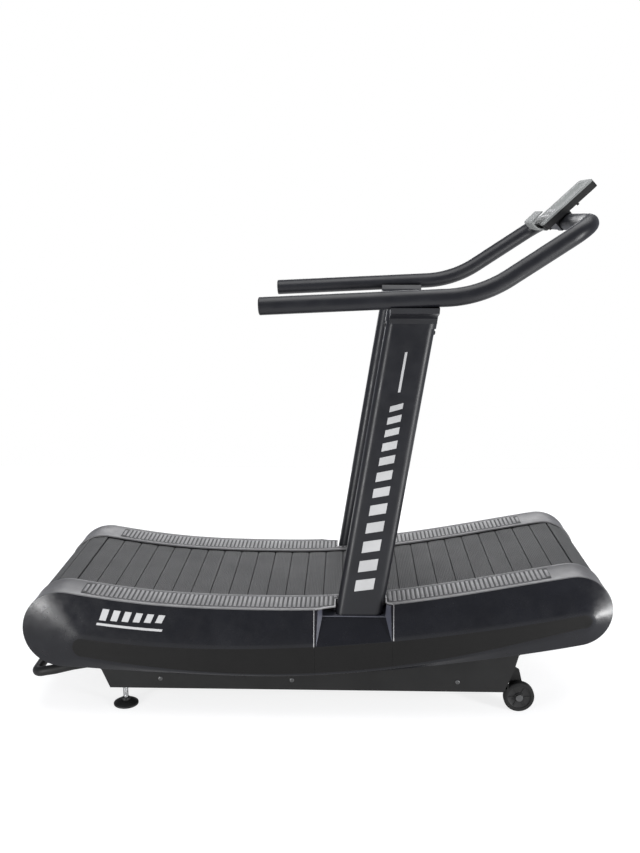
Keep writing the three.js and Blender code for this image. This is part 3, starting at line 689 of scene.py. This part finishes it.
def rail_section():
    """Rail cross-section as (width, depth below the outline), with rounded rims."""
    edge = [(RAIL_IN, RAIL_T), (RAIL_IN, 1.6), (RAIL_IN + 0.5, 0.7), (RAIL_IN + 1.6, 0.15), (RAIL_IN + 3, 0)]
    rim = [(RAIL_OUT - 12, 0.9), (RAIL_OUT - 10, 0.35), (RAIL_OUT - 8, 0.0), (RAIL_OUT - 5, 0.0)]
    lip = [(RAIL_OUT - 5 + 5 * math.sin(a), RAIL_T - RAIL_T * math.cos(a))
           for a in (math.radians(d) for d in (18, 36, 54, 72, 90))]
    return edge + [(RAIL_IN + 11, 0.0), (RAIL_IN + 13, 0.9)] + rim + lip


def along_deck(section, span, side=1):
    """A (width, depth) section carried along a stretch of the deck outline."""
    first, last = span
    rows = {depth: rail_part(first, last, depth) for _, depth in section}
    return skin([[(rows[d][i][0], side * y, rows[d][i][1]) for y, d in section]
                 for i in range(last - first + 1)])


def rib(x, y0, y1, side):
    """One rounded tread bar across the rail, its foot sunk into the strip."""
    across = [(-0.5, -1.6), (-0.5, 0.15), (-0.36, 0.72), (-0.2, 1.0),
              (0.2, 1.0), (0.36, 0.72), (0.5, 0.15), (0.5, -1.6)]
    along = [(y0, 0.0), (y0 + 0.9, 0.7), (y0 + 2.6, 1.0), (y1 - 2.6, 1.0), (y1 - 0.9, 0.7), (y1, 0.0)]
    rings = []
    for y, rise in along:
        ring = []
        for u, v in across:
            px = x + RIB_W * u
            lift = RIB_H * v * rise if v > 0 else v
            ring.append((px, side * y, top_height(px) + lift - 0.05))
        rings.append(ring)
    return skin(rings)


def rail_ribs(side):
    parts = []
    count = int((RIB_TO - RIB_FROM) / RIB_PITCH)
    for k in range(count + 1):
        x = RIB_FROM + k * RIB_PITCH
        inset_end = 14 if k in (0, count) else 6 if k in (1, count - 1) else 0
        parts.append(rib(x, RIB_Y0 + inset_end, min(RIB_Y1 - inset_end, rib_limit(x, RIB_W / 2)), side))
    return merge(parts)


def rib_limit(x, half):
    """How far out the tread pattern may reach beside the notch for the upright."""
    if THROAT[0] - half - 3 < x < THROAT[1] + half + 3:
        return THROAT_REACH
    if FLARE[0] - half < x < FLARE[1] + half:
        return FLARE_REACH
    return RIB_Y1


def rib_bed(side):
    """Dark floor of the grooves between the tread bars: painted shade in the grooves."""
    rings = []
    x = RIB_FROM - BED_END
    while x < RIB_TO + BED_END:
        top = top_height(x) + BED_LIFT
        low = top - BED_THICK
        y0, y1 = RIB_Y0 + 2, rib_limit(x, 2.0) - 2
        rings.append([(x, side * y0, top), (x, side * y1, top), (x, side * y1, low), (x, side * y0, low)])
        x += BED_STEP
    return skin(rings)


def notch_lip(side):
    """Raised bead round the notch for the upright, running on down the edges of the pocket; its pale grey is
    a painted highlight along these edges.
    """
    beads = []
    for points in (LIP_REAR, LIP_FRONT):
        line = [(x, side * y, top_height(x) - 0.5) for x, y in points]
        beads.append(rod(line, LIP_R, 10))
    for x, foot in ((SEAM_REAR - EDGE_R, REAR_EDGE_FOOT), (SEAM_FRONT + EDGE_R, FRONT_EDGE_FOOT)):
        line = [(x, side * (y - 1.5), z) for y, z in pocket_edge(x, foot)]
        beads.append(rod(line, EDGE_R, 10))
    return merge(beads)


def pocket_edge(x, foot):
    """Section of the cover at x, from its rim down to the foot of the pocket, as (width, height)."""
    crown = height_at(PANEL, x)
    rim = (COVER_EDGE, top_height(x) - 1.2)
    return [rim, between(rim, (COVER_TOP, crown), 0.5), (COVER_TOP, crown), (COVER_TOP, (crown + foot) / 2),
            (COVER_TOP, foot)]


def build_rail(label, side):
    obj = mesh_object(f"foot_rail_{label}_look", *along_deck(rail_section(), RAIL_SPAN, side))
    rings = [[(x, side * y, z) for x, y in NOTCH] for z in (NOTCH_FLOOR, NOTCH_TOP)]
    carve(obj, tool("notch", *skin(rings)))
    bevel(obj, 0.8, 2, 40)
    dress(obj, LOOKS["rail"], nodes=[f"foot_rail_{label}"], smooth=40)
    ribs = mesh_object(f"foot_rail_ribs_{label}", *rail_ribs(side))
    dress(ribs, LOOKS["tread_bar"], smooth=50)
    bed = mesh_object(f"foot_rail_groove_shade_{label}", *rib_bed(side))
    dress(bed, LOOKS["groove"], smooth=30)
    lip = mesh_object(f"pocket_lip_highlight_{label}", *notch_lip(side))
    dress(lip, LOOKS["lip"], smooth=60)


def build_shade_skirt(label, side):
    """Black angle hanging from the rail's inner edge, closing the gap beside the belt from below: a dark
    piece that is painted shade in that gap.
    """
    obj = mesh_object(f"rail_shade_skirt_{label}", *along_deck(SKIRT, SKIRT_SPAN, side))
    dress(obj, LOOKS["black"], smooth=30)


def build_guard(name, span):
    """Curved end plate between the rails, with rolled long edges."""
    half = RAIL_IN - GAP
    section = [(-half, 2.4), (-half, 0.9), (-half + 1.2, 0.15), (-half + 3, 0),
               (half - 3, 0), (half - 1.2, 0.15), (half, 0.9), (half, 2.4)]
    obj = mesh_object(name + "_look", *along_deck(section, span))
    bevel(obj, 0.6, 2, 40)
    dress(obj, LOOKS["rail"], nodes=[name], smooth=40)


# ---------------- slat belt
def belt_base():
    """Loop that the belt follows: the deck's own top and ends, closed by a shallow sag."""
    front_low = on_end(FRONT_END, FRONT_LOW)
    rear_low = (REAR_END[0], REAR_END[1] - REAR_END[2])
    return (deck_top() + end_arc(FRONT_END, FRONT_TOP, FRONT_LOW, BELT_ARC_STEPS)
            + bezier(front_low, (560, 195), (-300, 159), rear_low, BELT_LOW_STEPS)
            + end_arc(REAR_END, 270, REAR_TOP, BELT_ARC_STEPS))


def walk(loop):
    """Length of a closed loop and a function giving point and direction at a distance round it."""
    n = len(loop)
    marks = [0.0]
    for i in range(n):
        marks.append(marks[-1] + math.dist(loop[i], loop[(i + 1) % n]))
    directions = tangents(loop)

    def at(s):
        s %= marks[-1]
        i = max(k for k in range(n) if marks[k] <= s)
        share = (s - marks[i]) / (marks[i + 1] - marks[i])
        d = between(directions[i], directions[(i + 1) % n], share)
        size = math.hypot(*d)
        return between(loop[i], loop[(i + 1) % n], share), (d[0] / size, d[1] / size)
    return marks[-1], at


def slat_section(half):
    """Slat cross-section: (along, height), crowned, with fine ribs and rounded shoulders."""
    rise = SLAT_FOOT - SLAT_TOP
    left = [(-half + 1.5, 0.3), (-half, 1.4), (-half, rise - 3.6), (-half + 0.5, rise - 2.2),
            (-half + 1.6, rise - 1.3)]
    pitch, groove = 5.4, 0.75
    count = int((2 * half - 5) / pitch)
    start = -count * pitch / 2
    ribs = []
    for k in range(count):
        x = start + k * pitch
        for u, drop in ((0.5, groove), (1.1, 0.15), (1.8, 0.0), (3.6, 0.0), (4.3, 0.15), (4.9, groove)):
            ribs.append((x + u, rise - drop - 0.9 * ((x + u) / half) ** 2))
    right = [(-x, z) for x, z in reversed(left)]
    return left + ribs + right


def slat(centre, direction, section):
    """One slat across the belt, its ends eased down by a millimetre."""
    ends = [(-BELT_HALF, 1.0), (-BELT_HALF + 1.3, 0.0), (BELT_HALF - 1.3, 0.0), (BELT_HALF, 1.0)]
    rings = []
    for y, sink in ends:
        ring = []
        for u, v in section:
            w = max(v - sink, 0.3) if v > 1 else v
            ring.append((centre[0] + direction[0] * u - direction[1] * w, y,
                         centre[1] + direction[1] * u + direction[0] * w))
        rings.append(ring)
    return skin(rings)


def build_belt():
    base = belt_base()
    outer, _ = walk(inset(base, SLAT_TOP))
    length, at = walk(inset(base, SLAT_FOOT))
    count = round(outer / SLAT_COUNT_PITCH)
    section = slat_section((length / count - SLAT_GAP) / 2)
    slats = [slat(*at((i + 0.5) * length / count), section) for i in range(count)]
    obj = mesh_object("belt_slats", *merge(slats))
    dress(obj, LOOKS["slat"], nodes=["slat_belt"], smooth=28)
    # Carrier under the slats across the whole belt width: a carrier belt, and painted shade seen through the
    # gaps between slats.
    half = BELT_HALF - 3
    over, under = inset(base, SLAT_FOOT - 0.2), inset(base, CARRIER_IN)
    rings = [[(a[0], -half, a[1]), (a[0], half, a[1]), (b[0], half, b[1]), (b[0], -half, b[1])]
             for a, b in zip(over, under)]
    carrier = mesh_object("belt_carrier_shade", *skin(rings, loop=True))
    dress(carrier, LOOKS["carrier"], nodes=["slat_belt"])


# ---------------- uprights and handrail
def round_section(w, d, r, steps=9):
    """Rectangle w by d with corners of radius r."""
    out = []
    corners = ((w / 2 - r, d / 2 - r), (r - w / 2, d / 2 - r), (r - w / 2, r - d / 2), (w / 2 - r, r - d / 2))
    for turn, (cx, cy) in enumerate(corners):
        for k in range(steps + 1):
            a = math.radians(90 * turn + 90 * k / steps)
            out.append((cx + r * math.cos(a), cy + r * math.sin(a)))
    return out


def leaning(points, side):
    """From the upright's own frame, z up its middle line, to the row frame."""
    c, s = math.cos(LEAN), math.sin(LEAN)
    return [(POST_FOOT[0] + x * c + z * s, side * (POST_FOOT[1] + y), POST_FOOT[2] - x * s + z * c)
            for x, y, z in points]


def build_upright(label, side):
    section = round_section(POST_W, POST_D, POST_R)
    heights = [POST_LOW, POST_LOW + 1] + [-180 + 46 * k for k in range(24)] + [POST_TOP - 1, POST_TOP]
    rings = [leaning([(x, y, z) for x, y in section], side) for z in heights]
    obj = mesh_object(f"upright_{label}_look", *skin(rings))
    dress(obj, LOOKS["paint"], nodes=[f"upright_{label}"], smooth=40)


def path_corner(start, turn, radius, steps):
    """Points of a bend in the (x, z) plane that starts at `start` with direction `turn[0]`."""
    u, angle = turn
    centre = (start[0] - u[1] * radius, start[1] + u[0] * radius)
    out = []
    for i in range(steps + 1):
        a = angle * i / steps
        arm = (u[1] * radius, -u[0] * radius)
        c, s = math.cos(a), math.sin(a)
        out.append((centre[0] + arm[0] * c - arm[1] * s, centre[1] + arm[0] * s + arm[1] * c))
    return out


def handrail_path():
    """Middle line of the whole rail, from one plug to the other, and the slope of its rear stretch."""
    u = Vector(BAR_KNEE) - Vector(BAR_REAR)
    v = Vector(BAR_FRONT) - Vector(BAR_KNEE)
    u.normalize()
    v.normalize()
    angle = math.acos(u.dot(v))
    start = Vector(BAR_KNEE) - u * KNEE_R * math.tan(angle / 2)
    side = [BAR_REAR] + path_corner(tuple(start), (tuple(u), angle), KNEE_R, 22)
    half = [(x, BAR_Y, z) for x, z in side]
    pivot = Vector((BAR_FRONT[0] - v[0] * CORNER_R, BAR_Y - CORNER_R, BAR_FRONT[1] - v[1] * CORNER_R))
    along = Vector((v[0], 0, v[1]))
    for i in range(17):
        a = math.pi / 2 * i / 16
        half.append(tuple(pivot + along * CORNER_R * math.sin(a) + Vector((0, CORNER_R * math.cos(a), 0))))
    return half + [(x, -y, z) for x, y, z in reversed(half)], math.atan2(u[1], u[0])


def spaced(points, step):
    """The same path with extra points so that long straights shade evenly."""
    out = []
    for a, b in zip(points, points[1:]):
        parts = max(1, int(math.dist(a, b) / step))
        out += [between(a, b, k / parts) for k in range(parts)]
    return out + [points[-1]]


def build_handrail():
    path, slope = handrail_path()
    obj = mesh_object("handrail_look", *rod(spaced(path, 40), BAR_R, 44))
    dress(obj, LOOKS["paint"], nodes=["handrail"], smooth=40)
    profile = [(0, -4), (15, -3.9), (20, -3.4), (23, -2.4), (24.6, -1.2), (25.2, -0.2), (0, -0.1)]
    for label, side in SIDES:
        points, faces = turned(profile, "y", (0, 0, 0), 44)
        c, s = math.cos(slope), math.sin(slope)
        placed = [(BAR_REAR[0] + y * c - x * s, side * BAR_Y + z, BAR_REAR[1] + y * s + x * c)
                  for x, y, z in points]
        plug = mesh_object(f"handrail_plug_{label}_look", placed, faces)
        weld(plug)
        dress(plug, LOOKS["black"], nodes=[f"handrail_plug_{label}"])


def upright_marks(label, side):
    """Plain slanted bars down the outer face, in place of any wording."""
    face = POST_D / 2
    bars = []
    z, slant = 75.0, 17
    for k, height in enumerate((58, 58, 58, 52, 52, 46, 46, 40, 40, 34, 34, 28)):
        width = 56 - 1.8 * k
        outline = [(-width / 2, z), (width / 2, z + slant), (width / 2, z + slant + height * 0.62),
                   (-width / 2, z + height * 0.62)]
        rings = [leaning([(x, y, h) for x, h in outline], side) for y in (face - 0.4, face + 0.15)]
        bars.append(skin(rings))
        z += height + 4
    line = [(-3.5, z + 30), (3.5, z + 32), (3.5, 820), (-3.5, 818)]
    bars.append(skin([leaning([(x, y, h) for x, h in line], side) for y in (face - 0.4, face + 0.15)]))
    obj = mesh_object(f"upright_graphic_{label}", *merge(bars))
    dress(obj, LOOKS["graphic"])


def button_screw(centre, direction, radius, height):
    """Domed socket screw head standing out along direction."""
    profile = [(0, -1.5), (radius, -1.5), (radius, 0.4), (radius * 0.93, height * 0.55),
               (radius * 0.7, height * 0.9), (radius * 0.46, height), (radius * 0.42, height * 0.35),
               (0, height * 0.35)]
    points, faces = turned(profile, "z", (0, 0, 0), 24)
    turn = Vector((0, 0, 1)).rotation_difference(Vector(direction))
    return [tuple(Vector(centre) + turn @ Vector(p)) for p in points], faces


def upright_screws(label, side):
    """The screw near the top of each narrow face."""
    c, s = math.cos(LEAN), math.sin(LEAN)
    parts = []
    for x, out in ((POST_W / 2, 1), (-POST_W / 2, -1)):
        centre = leaning([(x, 0, POST_SCREW)], side)[0]
        parts.append(button_screw(centre, (out * c, 0, -out * s), 6.5, 4.0))
    obj = mesh_object(f"upright_screws_{label}", *merge(parts))
    weld(obj)
    dress(obj, LOOKS["black"], smooth=30)


# ---------------- base
# Rear handle: its tube, its bend, and the middle line of one side up to where the bend begins.
HANDLE_R, HANDLE_TURN, HANDLE_DROP = 15.0, 30.0, 8
HANDLE_SIDE = [(-602, 280, 148), (-690, 282, 147), (-760, 296, 140), (-815, 299, 127)]
HANDLE_CORNER = (-849.5, 269, 121)

# Stem of the levelling foot: thread between two heights, and its two radii.
STEM_TOP, THREAD_FROM, THREAD_TO, THREAD_PITCH = 118, 25.0, 115, 1.75
ROOT_R, CREST_R = 6.9, 8.0
PAD = [(0, 0), (36, 0), (38.4, 0.8), (39, 2.2), (39, 5.2), (38.2, 6.6), (36, 7.6), (30, 11.6), (22, 13.6),
       (14.2, 14.6), (12.6, 15.2), (12.4, 22.6), (11.4, 23.8), (7, 24), (0, 24)]

# Wheel profiles from one face to its middle plane: (radius, depth from the face).
TYRE = [(36.4, 0.6), (40, 0), (44, 0.2), (46.6, 1.6), (47.8, 4), (48, 8)]
TYRE_BORE = (35.6, 3)
HUB = [(6.2, 0.3), (13, 0.3), (14, 1.2), (15, 4.6), (30, 5.4), (34.4, 3.4), (35.7, 3.2)]

# Screws along the frame's lower web.
WEB_SCREWS, WEB_FACE, WEB_HEIGHT = (-480, -72, 438), 324.2, 112


def build_handle():
    cx, cy, cz = HANDLE_CORNER
    half = list(HANDLE_SIDE)
    for i in range(13):
        a = math.pi / 2 * i / 12
        half.append((cx - HANDLE_TURN * math.sin(a), cy + HANDLE_TURN * math.cos(a),
                     cz - HANDLE_DROP * math.sin(a)))
    path = half + [(x, -y, z) for x, y, z in reversed(half)]
    obj = mesh_object("rear_handle_look", *rod(spaced(path, 30), HANDLE_R, 28))
    dress(obj, LOOKS["frame"], nodes=["rear_handle"], smooth=40)


def build_foot(label, side):
    centre = (FOOT[0], side * FOOT[1], 0)
    grip = mesh_object(f"levelling_pad_{label}", *turned(PAD, "z", centre, 56))
    weld(grip)
    dress(grip, LOOKS["black"], f"foot_{label}", [f"levelling_foot_{label}"], smooth=40)
    thread = [(0, 23.5), (6.8, 23.5), (6.8, 24.5)]
    height = THREAD_FROM
    while height < THREAD_TO:
        thread += [(ROOT_R, height), (CREST_R, height + 0.75),
                   (CREST_R, height + 0.95), (ROOT_R, height + 1.7)]
        height += THREAD_PITCH
    thread += [(6.6, STEM_TOP - 0.6), (0, STEM_TOP)]
    stem = mesh_object(f"levelling_stem_{label}", *turned(thread, "z", centre, 28))
    weld(stem)
    dress(stem, LOOKS["steel"], f"foot_{label}", [f"levelling_foot_{label}"], smooth=25)


def both_faces(half):
    """A wheel profile as (radius, width), from half of it and its mirror image."""
    return [(r, WHEEL_IN + d) for r, d in half] + [(r, WHEEL_OUT - d) for r, d in reversed(half)]


def wheel_ring(profile, side, segments):
    return turned([(a, side * b) for a, b in profile], "y", (WHEEL[0], 0, WHEEL[1]), segments, True)


def build_wheel(label, side):
    x, r = WHEEL
    bore, depth = TYRE_BORE
    tyre = both_faces(TYRE) + [(bore, WHEEL_OUT - depth), (bore, WHEEL_IN + depth)]
    tread = mesh_object(f"wheel_tyre_{label}", *wheel_ring(tyre, side, 72))
    dress(tread, LOOKS["tyre"], f"wheel_{label}", [f"transport_wheel_{label}"], smooth=40)
    parts = [wheel_ring(both_faces(HUB), side, 56)]
    for k in range(6):
        a = math.pi * k / 3
        c, s = math.cos(a), math.sin(a)
        ring = [(15.5, -2.2), (33.5, -1.6), (33.5, 1.6), (15.5, 2.2)]
        rings = [[(x + u * c - v * s, side * y, r + u * s + v * c) for u, v in ring]
                 for y in (WHEEL_IN + 3.2, WHEEL_OUT - 3.2)]
        parts.append(skin(rings))
    core = mesh_object(f"wheel_hub_{label}", *merge(parts))
    dress(core, LOOKS["black"], f"wheel_{label}", [f"transport_wheel_{label}"], smooth=30)


def frame_screws(label, side):
    """Dark screw heads that close the holes along the frame's lower web."""
    heads = [button_screw((x, side * WEB_FACE, WEB_HEIGHT), (0, side, 0), 7.2, 2.4) for x in WEB_SCREWS]
    obj = mesh_object(f"frame_screws_{label}", *merge(heads))
    weld(obj)
    dress(obj, LOOKS["dull"], smooth=30)


def build_base():
    build_handle()
    for label, side in SIDES:
        frame_screws(label, side)
        rounded_copy(f"side_frame_{label}", LOOKS["frame"], 0.9)
        build_foot(label, side)
        build_wheel(label, side)
        rounded_copy(f"lock_nut_{label}", LOOKS["steel"], 0.8)
        rounded_copy(f"wheel_bolt_{label}", LOOKS["dull"], 0.8, angle=40)
        for end in ("front", "rear"):
            rounded_copy(f"bearing_block_{end}_{label}", LOOKS["black"], 1.2)
    for node in ("crossmember_rear", "crossmember_front", "crossmember_inner_1", "crossmember_inner_2"):
        rounded_copy(node, LOOKS["frame"], 1.6)


# ---------------- console
# Places of the keys on the face, up and across, and the profile of one: (radius, height).
KEY_ROWS, KEY_COLUMNS = (34, 58), (-34, 0, 34)
KEY = [(0, -5), (7.5, -5), (7.5, 0.3), (7.3, 0.8), (6.7, 1.2), (5.6, 1.38),
       (4.6, 1.3), (2.5, 1.05), (0, 0.95)]


def console_point(u, v, w):
    """From the console's own frame, u up the face and w out of it, to the row frame."""
    x, z, tilt = CONSOLE
    c, s = math.cos(tilt), math.sin(tilt)
    return (x + u * c - w * s, v, z + u * s + w * c)


def build_keys():
    number = 0
    for u in KEY_ROWS:
        for v in KEY_COLUMNS:
            number += 1
            points, faces = turned(KEY, "z", (u, v, 0), 32)
            key = mesh_object(f"console_key_{number}_look", [console_point(*p) for p in points], faces)
            weld(key)
            dress(key, LOOKS["key"], f"key_{number}", [f"console_key_{number}"], smooth=40)


def build_console():
    rounded_copy("console_bezel", LOOKS["face"], 1.2, angle=40)
    rounded_copy("console_back", LOOKS["black"], 1.4, angle=40)
    rounded_copy("console_lens", LOOKS["lens"], 0.5, angle=40)
    rounded_copy("console_bracket", LOOKS["paint"], 1.5, angle=40)
    rounded_copy("phone_ledge", LOOKS["ledge"], 1.1, angle=20)
    rounded_copy("battery_cover", LOOKS["black"], 1.0, angle=40)
    build_keys()


# ---------------- studio
def area_light(name, place, aim, width, height, power):
    data = bpy.data.lights.new(name, "AREA")
    data.shape = "RECTANGLE"
    data.size, data.size_y, data.energy = width, height, power
    obj = bpy.data.objects.new(name, data)
    obj.location = place
    obj.rotation_euler = (Vector(aim) - Vector(place)).to_track_quat("-Z", "Y").to_euler()
    obj.visible_camera = False
    bpy.context.scene.collection.objects.link(obj)


def build_world():
    """A dim cool room for the object to stand in, in front of a white cyclorama."""
    world = bpy.data.worlds.new("studio")
    world.use_nodes = True
    tree = world.node_tree
    room = tree.nodes["Background"]
    room.inputs["Color"].default_value = ROOM_TINT
    room.inputs["Strength"].default_value = ROOM_LIGHT
    white = tree.nodes.new("ShaderNodeBackground")
    white.inputs["Color"].default_value = (1, 1, 1, 1)
    seen = tree.nodes.new("ShaderNodeLightPath")
    mix = tree.nodes.new("ShaderNodeMixShader")
    tree.links.new(seen.outputs["Is Camera Ray"], mix.inputs[0])
    tree.links.new(room.outputs[0], mix.inputs[1])
    tree.links.new(white.outputs[0], mix.inputs[2])
    tree.links.new(mix.outputs[0], tree.nodes["World Output"].inputs["Surface"])
    bpy.context.scene.world = world


def build_floor():
    """White floor that glows a little, so that it runs into the white background."""
    half, steps = FLOOR_HALF, FLOOR_STEPS
    grid = [(-half + 2 * half * i / steps, -half + 2 * half * j / steps, 0) for j in range(steps + 1)
            for i in range(steps + 1)]
    faces = [(a, a + 1, a + steps + 2, a + steps + 1) for a in
             (j * (steps + 1) + i for j in range(steps) for i in range(steps))]
    floor = mesh_object("studio_floor", grid, faces)
    m = Nodes("studio_white")
    m.link(m.blend(m.noise(3.0), grey(0.30), grey(0.34)), m.shader.inputs["Base Color"])
    m.shader.inputs["Roughness"].default_value = 0.95
    m.shader.inputs["Specular IOR Level"].default_value = 0.1
    m.shader.inputs["Emission Color"].default_value = (1, 1, 1, 1)
    m.shader.inputs["Emission Strength"].default_value = FLOOR_GLOW
    floor.data.materials.append(m.material)


def build_studio():
    build_world()
    build_floor()
    area_light("overhead_key", (0.1, -0.2, 3.3), (0.0, 0.0, 0.4), 3.6, 1.8, KEY_POWER)
    area_light("left_softbox", (-2.35, -2.85, 0.60), (-0.8, -0.3, 0.4), 0.35, 1.1, SOFTBOX_POWER * 0.8)
    area_light("right_softbox", (2.9, -2.2, 0.7), (0.85, -0.3, 0.4), 0.5, 1.4, SOFTBOX_POWER)
    area_light("rear_bevel_strip", (-1.50, -1.65, 0.12), (-0.83, -0.36, 0.33), 0.16, 0.16, STRIP_POWER)
    area_light("front_bevel_strip", (1.45, -0.85, 0.10), (0.87, -0.36, 0.33), 0.25, 0.12, STRIP_POWER)
    area_light("back_softbox", (0.0, 3.4, 1.8), (0.0, 0.0, 0.6), 4.0, 1.6, BACK_POWER)


def build_camera():
    data = bpy.data.cameras.new("camera")
    data.lens, data.sensor_width, data.sensor_fit = LENS_MM, SENSOR_MM, "AUTO"
    camera = bpy.data.objects.new("camera", data)
    camera.location = CAMERA_PLACE
    camera.rotation_euler = (math.radians(90 - CAMERA_DIP), 0, math.radians(CAMERA_TURN))
    bpy.context.scene.collection.objects.link(camera)
    bpy.context.scene.camera = camera


def dress_remaining():
    """Running gear that keeps its CAD shape gets its finish."""
    looks = {"drum": "alloy", "belt_track": "steel", "guide_roller": "black"}
    for name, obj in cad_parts.items():
        for start, look in looks.items():
            if name.startswith(start):
                obj.data.materials.clear()
                obj.data.materials.append(LOOKS[look])


build_belt()
for label, side in SIDES:
    build_cover(label, side)
    build_rail(label, side)
    build_upright(label, side)
    build_shade_skirt(label, side)
    upright_marks(label, side)
    upright_screws(label, side)
    cover_marks(label, side)
    rounded_copy(f"upright_sleeve_{label}", LOOKS["paint"], 1.6, angle=28)
    rounded_copy(f"upright_shroud_{label}", LOOKS["shelf"], 1.2)
build_guard("end_guard_rear", REAR_GUARD)
build_guard("end_guard_front", FRONT_GUARD)
build_handrail()
build_base()
build_console()
dress_remaining()
build_studio()
build_camera()
bpy.context.scene.view_settings.view_transform = "Standard"
